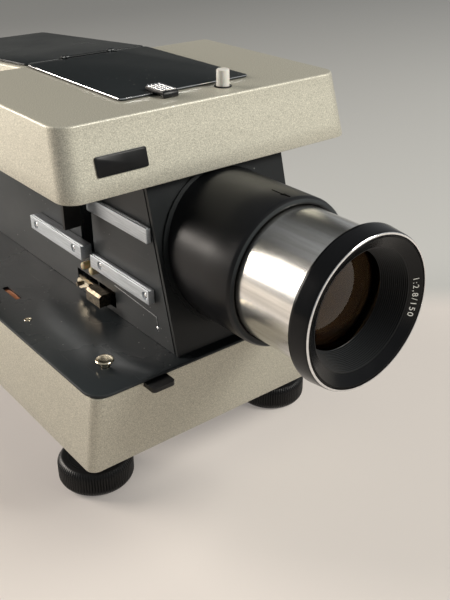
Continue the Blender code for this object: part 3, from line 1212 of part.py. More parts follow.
def build_blower(root):
    """Blower under the lamp: motor on the bottom plate and the impeller on its shaft."""
    low = FOOT_LIFT + BOTTOM_THICKNESS + GAP
    top = low + MOTOR_HEIGHT
    motor = cylinder("fan_motor", MOTOR_RADIUS, (0.0, FAN_Y, low), (0.0, FAN_Y, top), "steel_zinc", root, segments=32)
    bore = cylinder("motor_bore", SHAFT_RADIUS + GAP, (0.0, FAN_Y, top - SHAFT_DEPTH - GAP),
                    (0.0, FAN_Y, top + OVERCUT), None, root)
    cut(motor, bore)
    pivot = empty("fan_axis", (0.0, FAN_Y, top), root)
    disc_low = top + FAN_LIFT
    fan = turned("fan_impeller",
                 [(0.0, disc_low + FAN_HEIGHT), (FAN_HUB_RADIUS, disc_low + FAN_HEIGHT),
                  (FAN_HUB_RADIUS, disc_low + FAN_DISC_THICKNESS), (FAN_RADIUS, disc_low + FAN_DISC_THICKNESS),
                  (FAN_RADIUS, disc_low), (SHAFT_RADIUS, disc_low), (SHAFT_RADIUS, top - SHAFT_DEPTH),
                  (0.0, top - SHAFT_DEPTH)], (0.0, FAN_Y, 0.0), (0, 0, 1), "plastic_black", pivot, steps=24)
    blades = bmesh.new()
    for i in range(FAN_BLADES):
        angle = 2 * math.pi * i / FAN_BLADES
        start = Vector((FAN_HUB_RADIUS - FAN_BLADE_THICKNESS, 0.0, 0.0))
        blade = bmesh.ops.create_cube(blades, size=1.0)["verts"]
        for vert in blade:
            along = start.x + (vert.co.x + 0.5) * (FAN_RADIUS - GAP - start.x)
            sweep = angle + 0.5 * (along / FAN_RADIUS)
            across = vert.co.y * FAN_BLADE_THICKNESS
            vert.co = Vector((along * math.cos(sweep) - across * math.sin(sweep),
                              along * math.sin(sweep) + across * math.cos(sweep) + FAN_Y,
                              disc_low + FAN_DISC_THICKNESS / 2 + (vert.co.z + 0.5) * (FAN_HEIGHT - FAN_BLADE_THICKNESS)))
    weld(fan, add_object("fan_blades", blades, None, pivot))


def build_transformer(root):
    """Mains transformer on the bottom plate: laminated core and its winding."""
    low = FOOT_LIFT + BOTTOM_THICKNESS + GAP
    high = low + TRANSFORMER_HEIGHT
    half_x = TRANSFORMER_WIDTH / 2
    half_y = TRANSFORMER_LENGTH / 2
    core = box("transformer", (TRANSFORMER_X - half_x, TRANSFORMER_Y - half_y, low),
               (TRANSFORMER_X + half_x, TRANSFORMER_Y + half_y, high), "iron_laminated", root)
    winding = box("winding", (TRANSFORMER_X - half_x + WINDING_INSET, TRANSFORMER_Y - half_y - WINDING_MARGIN,
                              low + WINDING_MARGIN),
                  (TRANSFORMER_X + half_x - WINDING_INSET, TRANSFORMER_Y + half_y + WINDING_MARGIN,
                   high - WINDING_MARGIN), None, root, round_axis=2, radius=WINDING_MARGIN)
    weld(core, winding)


def build_rear(root):
    """Louvred plate that closes the spine's back, the mains inlet and the power switch."""
    rear = LAMP_HOUSE_REAR_Y - LAMP_HOUSE_WALL - GAP
    half = SPINE_HALF - SPINE_WALL - GAP
    plate = box("rear_grille", (-half, rear - GRILLE_THICKNESS, DECK_Z + GAP), (half, rear, DECK_Z + SPINE_WALL_HEIGHT),
                "paint_dark_grey", root)
    for i in range(GRILLE_SLOTS):
        low = DECK_Z + GRILLE_FIRST_HEIGHT + i * GRILLE_PITCH
        slot = box("grille_slot_%d" % i, (-GRILLE_SLOT_WIDTH / 2, rear - GRILLE_THICKNESS - OVERCUT, low),
                   (GRILLE_SLOT_WIDTH / 2, rear + OVERCUT, low + GRILLE_SLOT_HEIGHT), None, root)
        cut(plate, slot)
    fitting_z = DECK_Z - DECK_THICKNESS - GAP - REAR_FITTING_DROP
    face = DECK_LENGTH - BASE_INSET
    body = ((INLET_X - INLET_WIDTH / 2, face - INLET_DEPTH, fitting_z - INLET_HEIGHT / 2),
            (INLET_X + INLET_WIDTH / 2, face + GAP, fitting_z + INLET_HEIGHT / 2))
    inlet = box("mains_inlet", body[0], body[1], "plastic_black", root)
    rim = box("inlet_rim", (body[0][0] - INLET_RIM, face + GAP, body[0][2] - INLET_RIM),
              (body[1][0] + INLET_RIM, face + GAP + INLET_RIM_THICKNESS, body[1][2] + INLET_RIM), None, root,
              round_axis=1, radius=INLET_RIM)
    recess = box("inlet_recess", (INLET_X - INLET_RECESS_WIDTH / 2, face + INLET_RIM_THICKNESS - INLET_RECESS_DEPTH,
                                  fitting_z - INLET_RECESS_HEIGHT / 2),
                 (INLET_X + INLET_RECESS_WIDTH / 2, face + OVERCUT, fitting_z + INLET_RECESS_HEIGHT / 2), None, root,
                 round_axis=1, radius=INLET_RIM)
    weld(inlet, rim)
    cut(inlet, recess)
    floor = face + INLET_RIM_THICKNESS - INLET_RECESS_DEPTH
    for i, side in enumerate((-1, 1)):
        pin = cylinder("inlet_pin_%d" % i, INLET_PIN_RADIUS,
                       (INLET_X + side * INLET_PIN_SPREAD, floor - INLET_PIN_RADIUS, fitting_z + INLET_PIN_HEIGHT),
                       (INLET_X + side * INLET_PIN_SPREAD, floor + INLET_PIN_LENGTH, fitting_z + INLET_PIN_HEIGHT),
                       None, root, segments=10)
        weld(inlet, pin)
    pivot = empty("switch_axis", (SWITCH_X, face - BASE_WALL, fitting_z), root)
    half_z = SWITCH_HEIGHT / 2
    back = BASE_WALL - SWITCH_DEPTH
    front = BASE_WALL
    section = [(back, -half_z * 0.6), (0.0, -half_z), (front, -half_z * 0.6), (front - SWITCH_DISH, 0.0),
               (front, half_z * 0.6), (0.0, half_z), (back, half_z * 0.6)]
    outline = [(face - BASE_WALL + y * math.cos(SWITCH_TILT) - z * math.sin(SWITCH_TILT),
                fitting_z + y * math.sin(SWITCH_TILT) + z * math.cos(SWITCH_TILT)) for y, z in section]
    outline_solid("power_switch", outline, SWITCH_X - SWITCH_WIDTH / 2, SWITCH_X + SWITCH_WIDTH / 2, 0,
                  "plastic_black", pivot)


def main():
    """Build the projector and centre its outline on the origin."""
    global PARTS, CUTTERS
    clear_scene()
    PARTS, CUTTERS = make_collections()
    root = empty("projector_root", (0.0, 0.0, 0.0))
    build_base_housing(root)
    build_bottom_plate(root)
    build_feet(root)
    build_deck(root)
    build_side_walls(root)
    build_lens_panel(root)
    build_lens(root)
    build_top_cover(root)
    build_lamp_house(root)
    build_flap_and_panel(root)
    build_catch_and_rod(root)
    build_rails(root)
    build_gate(root)
    build_changer(root)
    build_pegs(root)
    build_indexing(root)
    build_deck_fittings(root)
    build_condenser(root)
    build_lamp(root)
    build_blower(root)
    build_transformer(root)
    build_rear(root)
    root.location.y = -(PROJECTOR_FRONT_Y + PROJECTOR_REAR_Y) / 2
    bpy.context.view_layer.update()


main()
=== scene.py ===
"""Looks of a slide projector with two magazine tracks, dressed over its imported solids.

Lengths are in metres. The floor is Z = 0, the lens looks along -Y and the optical axis lies
in the plane X = 0. Places along Y are given from the deck's front edge and heights from the
floor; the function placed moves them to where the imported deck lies.
"""

import math

import bmesh
import bpy
import numpy as np
from mathutils import Matrix, Vector


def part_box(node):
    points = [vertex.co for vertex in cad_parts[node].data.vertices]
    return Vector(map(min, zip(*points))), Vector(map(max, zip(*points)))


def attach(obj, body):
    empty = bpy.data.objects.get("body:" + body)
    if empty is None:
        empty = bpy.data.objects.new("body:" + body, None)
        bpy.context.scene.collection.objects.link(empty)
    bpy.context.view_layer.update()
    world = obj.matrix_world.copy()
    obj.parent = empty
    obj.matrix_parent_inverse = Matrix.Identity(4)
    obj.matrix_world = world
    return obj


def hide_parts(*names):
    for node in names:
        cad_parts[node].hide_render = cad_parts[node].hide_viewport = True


bl_info = {
    "name": "Two-track slide projector looks",
    "version": (1, 0, 0),
    "blender": (4, 5, 0),
    "location": "View3D > Sidebar > Projector",
    "description": "Builds the finishes and fine pieces of a slide projector over its solids",
    "category": "Object",
}

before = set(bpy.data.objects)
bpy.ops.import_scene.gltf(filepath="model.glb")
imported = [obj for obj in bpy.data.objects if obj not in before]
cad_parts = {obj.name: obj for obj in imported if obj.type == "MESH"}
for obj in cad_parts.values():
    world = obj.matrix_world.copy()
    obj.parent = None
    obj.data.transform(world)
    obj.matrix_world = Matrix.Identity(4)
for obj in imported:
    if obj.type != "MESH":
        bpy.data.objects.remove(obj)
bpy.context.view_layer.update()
BODY = "body"
DECK_LOW, DECK_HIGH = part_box("deck_plate")
SHIFT_Y = DECK_LOW[1]
DECK_Z = DECK_HIGH[2]
AXIS_Z = DECK_Z + 0.0525
SIDES = ((-1, "left"), (1, "right"))
FOOT_X = 0.0754
FOOT_ROWS = (("front", 0.0662), ("rear", 0.285))
STUD_X, STUD_Y = 0.0849, 0.0255
ROD_X, ROD_Y = 0.0190, 0.0500
CATCH_X = -0.0185
FLAP_HALF = 0.0446


# ---------------------------------------------------------------- settings

def linear(code):
    """Linear RGB of an sRGB hex code: the piecewise sRGB curve, channel by channel."""
    channels = np.array([int(code[i:i + 2], 16) for i in (1, 3, 5)]) / 255.0
    low = channels / 12.92
    high = ((channels + 0.055) / 1.055) ** 2.4
    return tuple(float(value) for value in np.where(channels <= 0.04045, low, high))


def colour_setting(label, words, code):
    """A colour property with its default given as an sRGB hex code."""
    return bpy.props.FloatVectorProperty(name=label, description=words, subtype="COLOR", size=3,
                                         min=0.0, max=1.0, default=linear(code))


class ProjectorColours(bpy.types.PropertyGroup):
    """Colours of the projector's finishes."""

    enamel: colour_setting("Enamel", "Grey-beige stove enamel of the cover and the base", "#C0BDAF")
    deck: colour_setting("Deck paint", "Dark grey satin paint of the deck and the spine", "#3B4043")
    panel: colour_setting("Panel paint", "Black satin paint of the lens panel and the flap", "#262A2C")
    anodising: colour_setting("Black anodising", "Black of the mount tube and the collar", "#0E0F11")
    plastic: colour_setting("Black plastic", "Moulded plastic of the feet and the keys", "#0E0E0F")
    nylon: colour_setting("Nylon", "Cream nylon of the guide pegs", "#D9C9A0")
    floor: colour_setting("Floor", "Floor close to the projector", "#D9D2CC")
    wall: colour_setting("Backdrop", "Backdrop behind the projector", "#BDBDBA")


class ProjectorSizes(bpy.types.PropertyGroup):
    """Sizes of the projector's fine detail."""

    enamel_grain: bpy.props.FloatProperty(name="Enamel grain", description="Width of one speck of the enamel",
                                          default=0.0006, min=0.0002, unit="LENGTH")
    knurls: bpy.props.IntProperty(name="Knurls", description="Ribs round each foot wheel", default=84, min=12)
    cone_ridges: bpy.props.IntProperty(name="Cone ridges", description="Turned steps inside the lens cone",
                                       default=15, min=3)
    screw_radius: bpy.props.FloatProperty(name="Screw radius", description="Radius of the rails' screw heads",
                                          default=0.0016, min=0.001, unit="LENGTH")
    cover_edge: bpy.props.FloatProperty(name="Cover edge", description="Rounding of the cover's top edge",
                                        default=0.0015, min=0.0005, unit="LENGTH")
    badge_width: bpy.props.FloatProperty(name="Badge width", description="Width of the bare badge plate",
                                         default=0.0308, min=0.005, unit="LENGTH")


def colours():
    """The scene's colour settings."""
    return bpy.context.scene.projector_colours


def sizes():
    """The scene's size settings."""
    return bpy.context.scene.projector_sizes


# ---------------------------------------------------------------- materials

def socket(sockets, key):
    """The enabled socket with this identifier or name."""
    for item in sockets:
        if item.identifier == key:
            return item
    for item in sockets:
        if item.name == key and item.enabled:
            return item
    raise KeyError(key)


def add_node(tree, kind, values=None, links=None, stops=None, **settings):
    """Add one node: its settings, its sockets' values, its incoming links and its ramp's stops."""
    node = tree.nodes.new(kind)
    for name, value in settings.items():
        setattr(node, name, value)
    for name, value in (values or {}).items():
        socket(node.inputs, name).default_value = value
    for name, source in (links or {}).items():
        tree.links.new(source, socket(node.inputs, name))
    if stops:
        ramp = node.color_ramp
        while len(ramp.elements) < len(stops):
            ramp.elements.new(0.5)
        for element, (place, colour) in zip(ramp.elements, stops):
            element.position = place
            element.color = (*colour, 1.0)
    return node


def new_finish(name, values=None):
    """A named material with its node tree, shader and object coordinates."""
    material = bpy.data.materials.new(name)
    material.use_nodes = True
    tree = material.node_tree
    tree.nodes.clear()
    shader = add_node(tree, "ShaderNodeBsdfPrincipled", values)
    add_node(tree, "ShaderNodeOutputMaterial", links={"Surface": shader.outputs["BSDF"]})
    place = add_node(tree, "ShaderNodeTexCoord").outputs["Object"]
    return material, tree, shader, place


def tint(source, share=1.0):
    """A colour from a setting's name or an sRGB hex code, lighter or darker."""
    base = linear(source) if source.startswith("#") else tuple(getattr(colours(), source))
    return tuple(min(1.0, channel * share) for channel in base)


def grey(value):
    """A grey of one linear value."""
    return (value, value, value)


def clad(tree, shader, tone=None, gloss=None, relief=None):
    """Lead patterns into a shader: tone and gloss give a pattern and the stops of its ramp, relief
    gives a pattern, a strength and a depth."""
    for key, ramp in (("Base Color", tone), ("Roughness", gloss)):
        if ramp:
            mapped = add_node(tree, "ShaderNodeValToRGB", links={"Fac": ramp[0]}, stops=ramp[1:])
            tree.links.new(mapped.outputs["Color"], shader.inputs[key])
    if relief:
        pattern, strength, depth = relief
        bump = add_node(tree, "ShaderNodeBump", {"Strength": strength, "Distance": depth}, {"Height": pattern})
        tree.links.new(bump.outputs["Normal"], shader.inputs["Normal"])


def seen_rays(tree):
    """One for what is seen straight, mirrored or through glass, and nothing for light that only
    falls on other surfaces."""
    path = add_node(tree, "ShaderNodeLightPath").outputs
    seen = add_node(tree, "ShaderNodeMath", operation="MAXIMUM",
                    links={"Value": path["Is Camera Ray"], "Value_001": path["Is Glossy Ray"]})
    return add_node(tree, "ShaderNodeMath", operation="MAXIMUM",
                    links={"Value": seen.outputs[0], "Value_001": path["Is Transmission Ray"]}).outputs[0]


def stove_enamel():
    """Metallic stove enamel, grey-beige: fine flakes that sparkle where light grazes them, a soft
    sheen that turns dark on the corners that face away from the lamps, bright rounded edges."""
    material, tree, shader, place = new_finish("stove_enamel_beige", {"Metallic": 0.6, "Coat Weight": 0.35,
                                                                     "Coat Roughness": 0.16})
    speck = add_node(tree, "ShaderNodeTexNoise", {"Scale": 1.0 / sizes().enamel_grain, "Detail": 2.0,
                                                  "Roughness": 0.6}, {"Vector": place}).outputs["Fac"]
    clad(tree, shader, (speck, (0.32, tint("enamel", 0.76)), (0.50, tint("enamel")), (0.66, tint("enamel", 1.26))),
         (speck, (0.35, grey(0.70)), (0.65, grey(0.60))), (speck, 0.22, 0.0002))
    return material


def satin_paint(name, paint, share, rub, gloss):
    """Sprayed satin paint on sheet steel: even dark tone, thin bright rub marks along the way the
    magazines run, small chips, and a faint dust of pale specks."""
    material, tree, shader, place = new_finish(name, {"Specular IOR Level": 0.32})
    stretch = add_node(tree, "ShaderNodeMapping", {"Scale": (2400.0, 18.0, 2400.0)}, {"Vector": place})
    streak = add_node(tree, "ShaderNodeTexNoise", {"Scale": 1.0, "Detail": 2.0},
                      {"Vector": stretch.outputs["Vector"]})
    marks = add_node(tree, "ShaderNodeValToRGB", links={"Fac": streak.outputs["Fac"]},
                     stops=[(0.70, grey(0.0)), (0.80, grey(rub))])
    dust = add_node(tree, "ShaderNodeTexVoronoi", {"Scale": 190.0, "Randomness": 1.0}, {"Vector": place})
    specks = add_node(tree, "ShaderNodeValToRGB", links={"Fac": dust.outputs["Distance"]},
                      stops=[(0.07, grey(0.8)), (0.10, grey(0.0))])
    cloud = add_node(tree, "ShaderNodeTexNoise", {"Scale": 22.0, "Detail": 4.0}, {"Vector": place}).outputs["Fac"]
    pick = add_node(tree, "ShaderNodeValToRGB", links={"Fac": cloud}, stops=[(0.46, grey(0.0)), (0.58, grey(1.0))])
    chips = add_node(tree, "ShaderNodeMath", operation="MULTIPLY",
                     links={"Value": specks.outputs["Color"], "Value_001": pick.outputs["Color"]})
    worn = add_node(tree, "ShaderNodeMath", operation="MAXIMUM",
                    links={"Value": chips.outputs[0], "Value_001": marks.outputs["Color"]})
    mix = add_node(tree, "ShaderNodeMix", {"A_Color": (*tint(paint, share), 1.0), "B_Color": (*tint("#8E8F8C"), 1.0)},
                   {"Factor_Float": worn.outputs[0]}, data_type="RGBA")
    tree.links.new(socket(mix.outputs, "Result_Color"), shader.inputs["Base Color"])
    fine = add_node(tree, "ShaderNodeTexNoise", {"Scale": 900.0, "Detail": 2.0}, {"Vector": place}).outputs["Fac"]
    clad(tree, shader, gloss=(cloud, (0.3, grey(gloss)), (0.7, grey(gloss + 0.10))), relief=(fine, 0.05, 0.0002))
    return material


def black_anodising(name, share, gloss, shine):
    """Turned aluminium, black anodised: deep black, with fine turning marks round the lens axis
    that carry a long soft sheen along the tube."""
    material, tree, shader, place = new_finish(name, {"Specular IOR Level": shine})
    rings = add_node(tree, "ShaderNodeTexWave", {"Scale": 520.0, "Distortion": 0.6, "Detail": 1.0},
                     {"Vector": place}, wave_type="BANDS", bands_direction="Y").outputs["Fac"]
    cloud = add_node(tree, "ShaderNodeTexNoise", {"Scale": 60.0, "Detail": 3.0}, {"Vector": place}).outputs["Fac"]
    clad(tree, shader, (cloud, (0.3, tint("anodising", share * 0.85)), (0.75, tint("anodising", share * 1.3))),
         (cloud, (0.3, grey(gloss)), (0.8, grey(gloss + 0.08))), (rings, 0.04, 0.0002))
    return material


def turned_aluminium():
    """Bright turned aluminium of the barrel: fine turning marks round the axis, rubbed lengthwise
    into pale and dull bands by years of sliding, and small scratches."""
    material, tree, shader, place = new_finish("aluminium_turned_bright", {"Metallic": 1.0})
    parts = add_node(tree, "ShaderNodeSeparateXYZ", links={"Vector": place}).outputs
    height = add_node(tree, "ShaderNodeMath", {"Value_001": AXIS_Z}, {"Value": parts["Z"]}, operation="SUBTRACT")
    angle = add_node(tree, "ShaderNodeMath", links={"Value": parts["X"], "Value_001": height.outputs[0]},
                     operation="ARCTAN2")
    wide = add_node(tree, "ShaderNodeCombineXYZ", links={"X": angle.outputs[0], "Y": parts["Y"]}).outputs["Vector"]
    lengthwise = add_node(tree, "ShaderNodeMapping", {"Scale": (7.0, 5.0, 1.0)}, {"Vector": wide})
    bands = add_node(tree, "ShaderNodeTexNoise", {"Scale": 1.0, "Detail": 4.0, "Roughness": 0.6},
                     {"Vector": lengthwise.outputs["Vector"]}).outputs["Fac"]
    around = add_node(tree, "ShaderNodeMapping", {"Scale": (3.0, 2200.0, 1.0)}, {"Vector": wide})
    turning = add_node(tree, "ShaderNodeTexNoise", {"Scale": 1.0, "Detail": 3.0},
                       {"Vector": around.outputs["Vector"]}).outputs["Fac"]
    clad(tree, shader, (bands, (0.32, tint("#C9C7C1")), (0.62, tint("#EFEEEA"))),
         (bands, (0.3, grey(0.27)), (0.7, grey(0.19))), (turning, 0.05, 0.0002))
    return material


def brushed_metal(name, low, high, rough, grain, metal=1.0):
    """Rolled or drawn metal brushed along its length: fine lines that spread the highlight across
    them. The grain gives lines per metre along X, Y and Z."""
    material, tree, shader, place = new_finish(name, {"Metallic": metal})
    stretch = add_node(tree, "ShaderNodeMapping", {"Scale": grain}, {"Vector": place})
    lines = add_node(tree, "ShaderNodeTexNoise", {"Scale": 1.0, "Detail": 3.0, "Roughness": 0.6},
                     {"Vector": stretch.outputs["Vector"]}).outputs["Fac"]
    clad(tree, shader, (lines, (0.3, tint(low)), (0.7, tint(high))),
         (lines, (0.3, grey(rough + 0.08)), (0.7, grey(rough))), (lines, 0.10, 0.0002))
    return material


def moulded_plastic(name, paint, rough, values=None):
    """Injection-moulded plastic: one tone with a faint cloud, a fine matt tooth from the mould."""
    material, tree, shader, place = new_finish(name, values)
    cloud = add_node(tree, "ShaderNodeTexNoise", {"Scale": 120.0, "Detail": 4.0}, {"Vector": place}).outputs["Fac"]
    fine = add_node(tree, "ShaderNodeTexNoise", {"Scale": 1500.0, "Detail": 2.0}, {"Vector": place}).outputs["Fac"]
    clad(tree, shader, (cloud, (0.3, tint(paint, 0.88)), (0.7, tint(paint, 1.12))),
         (cloud, (0.3, grey(rough)), (0.7, grey(rough + 0.10))), (fine, 0.08, 0.0001))
    return material


def coated_glass(name, paint, body, bend=1.52):
    """Polished optical glass with a single-layer coating: clear, a warm cast in what it passes,
    and a faint smear of wiping marks."""
    material, tree, shader, place = new_finish(name, {"Transmission Weight": body, "IOR": bend, "Roughness": 0.0})
    smear = add_node(tree, "ShaderNodeTexNoise", {"Scale": 45.0, "Detail": 3.0, "Distortion": 1.5},
                     {"Vector": place}).outputs["Fac"]
    clad(tree, shader, (smear, (0.3, tint(paint, 0.94)), (0.7, tint(paint))))
    return material


def laminated_iron():
    """Varnished transformer iron: a stack of 0.5 mm sheets seen on edge, drawn as 1 mm lines."""
    material, tree, shader, place = new_finish("iron_laminated_varnished", {"Metallic": 0.5, "Roughness": 0.5})
    sheets = add_node(tree, "ShaderNodeTexWave", {"Scale": 314.0, "Distortion": 0.3}, {"Vector": place},
                      wave_type="BANDS", bands_direction="X").outputs["Fac"]
    clad(tree, shader, (sheets, (0.2, tint("#2B2623")), (0.8, tint("#5B4A3C"))))
    return material


def studio_surface(name):
    """Seamless pale paper: warm on the table and grey behind it. Painted shade darkens it towards the far left and
    the back, and painted light lifts it towards the far right. Painted shade also fades it to the dark of the room
    above the part in view. Seen straight, mirrored or through glass it glows a little: a painted glow of its own
    colour."""
    material, tree, shader, place = new_finish(name, {"Roughness": 0.9, "Specular IOR Level": 0.1})

    def times(one, other=None, value=None):
        """The product of two colours, the second linked or of one grey value."""
        links = {"A_Color": one} if other is None else {"A_Color": one, "B_Color": other}
        values = {"Factor_Float": 1.0} if value is None else {"Factor_Float": 1.0, "B_Color": (*grey(value), 1.0)}
        product = add_node(tree, "ShaderNodeMix", values, links, data_type="RGBA", blend_type="MULTIPLY")
        return socket(product.outputs, "Result_Color")

    ahead = add_node(tree, "ShaderNodeVectorMath", {"Vector_001": (0.6207, 0.7840, 0.35)}, {"Vector": place},
                     operation="DOT_PRODUCT").outputs["Value"]
    aside = add_node(tree, "ShaderNodeVectorMath", {"Vector_001": (0.7840, -0.6207, 0.0)}, {"Vector": place},
                     operation="DOT_PRODUCT").outputs["Value"]
    # Painted shade: the backdrop's colour falls to 0.80 of itself towards the back.
    depth = add_node(tree, "ShaderNodeMapRange", {"From Min": -0.5, "From Max": 2.5}, {"Value": ahead})
    tone = add_node(tree, "ShaderNodeValToRGB", links={"Fac": depth.outputs["Result"]},
                    stops=[(0.212, tint("floor")), (0.225, tint("wall")), (1.0, tint("wall", 0.80))])
    # Painted light and shade, not a random cloud: towards the back the paper goes from 0.52 of its colour at the left
    # to 1.22 at the right.
    spread = add_node(tree, "ShaderNodeMapRange", {"From Min": -1.1, "From Max": 0.9, "To Min": 0.52, "To Max": 1.22},
                      {"Value": aside})
    back = add_node(tree, "ShaderNodeMapRange", {"From Min": 0.2, "From Max": 0.9}, {"Value": ahead})
    cloud = add_node(tree, "ShaderNodeMix", {"A_Float": 1.0},
                     {"Factor_Float": back.outputs["Result"], "B_Float": spread.outputs["Result"]})
    height = add_node(tree, "ShaderNodeSeparateXYZ", links={"Vector": place})
    # Painted shade: the paper fades to a tenth of its colour between 0.45 m and 0.9 m up.
    painted_top_shade = add_node(tree, "ShaderNodeMapRange", {"From Min": 0.45, "From Max": 0.9, "To Min": 1.0, "To Max": 0.10},
                    {"Value": height.outputs["Z"]})
    colour = times(times(tone.outputs["Color"], socket(cloud.outputs, "Result_Float")), painted_top_shade.outputs["Result"])
    # Painted glow: the paper gives off 0.28 of its colour where it is seen straight, mirrored or through glass. Its
    # base colour is 0.82 of it, so less light bounces onto other surfaces.
    painted_glow = add_node(tree, "ShaderNodeMath", {"Value_001": 0.28}, {"Value": seen_rays(tree)}, operation="MULTIPLY")
    tree.links.new(times(colour, value=0.82), shader.inputs["Base Color"])
    tree.links.new(colour, shader.inputs["Emission Color"])
    tree.links.new(painted_glow.outputs[0], shader.inputs["Emission Strength"])
    return material


DRAWN = (2500.0, 60.0, 2500.0)
FINISHES = {
    "enamel": (stove_enamel,),
    "deck": (satin_paint, "satin_paint_dark_grey", "deck", 0.72, 0.5, 0.22),
    # Painted shade: the spine is a darker copy of the deck paint, at 0.50 of it against the deck's 0.72.
    "spine": (satin_paint, "satin_paint_spine_grey", "deck", 0.50, 0.12, 0.34),
    # Painted shade on the deck's rolled rim: a darker copy of the deck paint, at 0.55 of it against 0.72. The tube's
    # front chamfer and the cone's ridge crests use the same grey.
    "rim": (satin_paint, "satin_paint_rolled_rim", "deck", 0.55, 0.0, 0.62),
    "panel": (satin_paint, "satin_paint_black", "panel", 1.0, 0.10, 0.26),
    # Painted shade: a darker copy of the panel paint, at 0.45 of it, for the strongly lit lens panel.
    "face": (satin_paint, "satin_paint_lens_face", "panel", 0.45, 0.05, 0.34),
    "tube": (black_anodising, "aluminium_black_anodised_satin", 1.1, 0.33, 0.28),
    "collar": (black_anodising, "aluminium_black_anodised_gloss", 0.7, 0.17, 0.2),
    # The insides of the lens cone, tube, barrel and stop get the darkest copy of the black anodising, at 0.5: black,
    # with painted shade for the hollows.
    "cone": (black_anodising, "aluminium_black_anodised_matt", 0.5, 0.30, 0.3),
    "barrel": (turned_aluminium,),
    "rail": (brushed_metal, "aluminium_extruded_satin", "#AEB4B9", "#D3D9DE", 0.40, DRAWN, 0.82),
    # Painted shade: a darker, duller copy of the rail aluminium for the rails' upward faces.
    "rail_top": (brushed_metal, "aluminium_extruded_dull", "#6C7074", "#8E9297", 0.46, DRAWN),
    "bright": (brushed_metal, "chrome_bright_trim", "#D8D9DA", "#F2F2F2", 0.10, (900.0, 900.0, 900.0)),
    "nickel": (brushed_metal, "nickel_plated_warm", "#C9BDA2", "#EBE0C8", 0.18, (900.0, 900.0, 900.0)),
    "burnished": (brushed_metal, "steel_burnished_brown", "#3B362F", "#857A68", 0.34, (500.0, 500.0, 500.0)),
    "zinc": (brushed_metal, "steel_zinc_plated", "#8F9294", "#B9BCBE", 0.34, (700.0, 700.0, 700.0)),
    "copper": (brushed_metal, "copper_contact", "#9A5A38", "#D08C62", 0.28, (200.0, 2500.0, 200.0)),
    "plastic": (moulded_plastic, "phenolic_black_moulded", "plastic", 0.30, {"Specular IOR Level": 0.3}),
    "ink": (moulded_plastic, "engraving_filled_black", "#060606", 0.7, {"Specular IOR Level": 0.05}),
    "nylon": (moulded_plastic, "nylon_cream_moulded", "nylon", 0.35,
              {"Subsurface Weight": 0.25, "Subsurface Scale": 0.002}),
    "acrylic": (moulded_plastic, "acrylic_frosted_white", "#F2F0E8", 0.30,
                {"Transmission Weight": 0.1, "IOR": 1.49, "Subsurface Weight": 0.08, "Subsurface Scale": 0.002}),
    "ceramic": (moulded_plastic, "steatite_ceramic", "#D8D5CC", 0.55),
    "engraving": (moulded_plastic, "engraving_paint_white", "#E9E9E4", 0.5),
    "glass": (coated_glass, "optical_glass_coated", "#A88C66", 1.0, 1.42),
    "amber": (coated_glass, "optical_glass_amber_coated", "#4A3018", 0.0, 1.4),
    "lamp": (coated_glass, "lamp_glass_clear", "#F2F4F5", 0.9),
    "iron": (laminated_iron,),
}
MADE = {}


def finish(key):
    """One finish, made when it is first asked for."""
    if key not in MADE:
        make, *details = FINISHES[key]
        MADE[key] = make(*details)
    return MADE[key]


def paint_nodes(key, *names):
    """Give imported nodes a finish, on their own material slots."""
    for name in names:
        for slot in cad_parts[name].material_slots:
            slot.material = finish(key)


# ---------------------------------------------------------------- surfaces

def placed(points):
    """Points given from the deck's front edge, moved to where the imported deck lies."""
    points = np.array(points, dtype=float)
    points[..., 1] += SHIFT_Y
    return points


def quads(count, width, wrap=False, ring=True):
    """Corners of the quads between rows of points: wrap joins the last row to the first, ring joins
    each row's last point to its first."""
    rows = np.arange(count if wrap else count - 1)[:, None]
    across = np.arange(width if ring else width - 1)[None, :]
    after, upper = (across + 1) % width, (rows + 1) % count
    return np.stack([rows * width + across, rows * width + after, upper * width + after, upper * width + across],
                    axis=-1).reshape(-1, 4).tolist()


def surface(name, rings, finish_keys, wrap=False, caps=(True, True), bands=None, sharp=32.0):
    """A smooth piece from rings of points, shape (rings, points, 3): quads join each ring to the
    next and the last to the first if it wraps; caps close the end rings. bands gives each row
    of quads the number of its finish."""
    rings = placed(rings)
    count, width = rings.shape[:2]
    faces = quads(count, width, wrap)
    rank = np.repeat(bands if bands is not None else [0] * (len(faces) // width), width).tolist()
    if not wrap and caps[0]:
        faces.append(list(range(width))[::-1])
        rank.append(rank[0])
    if not wrap and caps[1]:
        faces.append(list(range((count - 1) * width, count * width)))
        rank.append(rank[-2] if caps[0] else rank[-1])
    mesh = bpy.data.meshes.new(name)
    mesh.from_pydata(rings.reshape(-1, 3).tolist(), [], faces)
    mesh.polygons.foreach_set("material_index", rank)
    return finished(name, mesh, finish_keys, sharp)


def finished(name, mesh, finish_keys, sharp=32.0):
    """Close the seams and poles, face everything outwards, shade smooth and hang the finishes on."""
    bm = bmesh.new()
    bm.from_mesh(mesh)
    bmesh.ops.remove_doubles(bm, verts=bm.verts, dist=0.000002)
    bmesh.ops.dissolve_degenerate(bm, edges=bm.edges, dist=0.000001)
    bmesh.ops.recalc_face_normals(bm, faces=bm.faces)
    if bm.calc_volume(signed=True) < 0:
        bmesh.ops.reverse_faces(bm, faces=bm.faces)
    bm.to_mesh(mesh)
    bm.free()
    for key in finish_keys:
        mesh.materials.append(finish(key))
    mesh.shade_smooth()
    mesh.set_sharp_from_angle(angle=math.radians(sharp))
    piece = bpy.data.objects.new(name, mesh)
    bpy.context.scene.collection.objects.link(piece)
    return piece


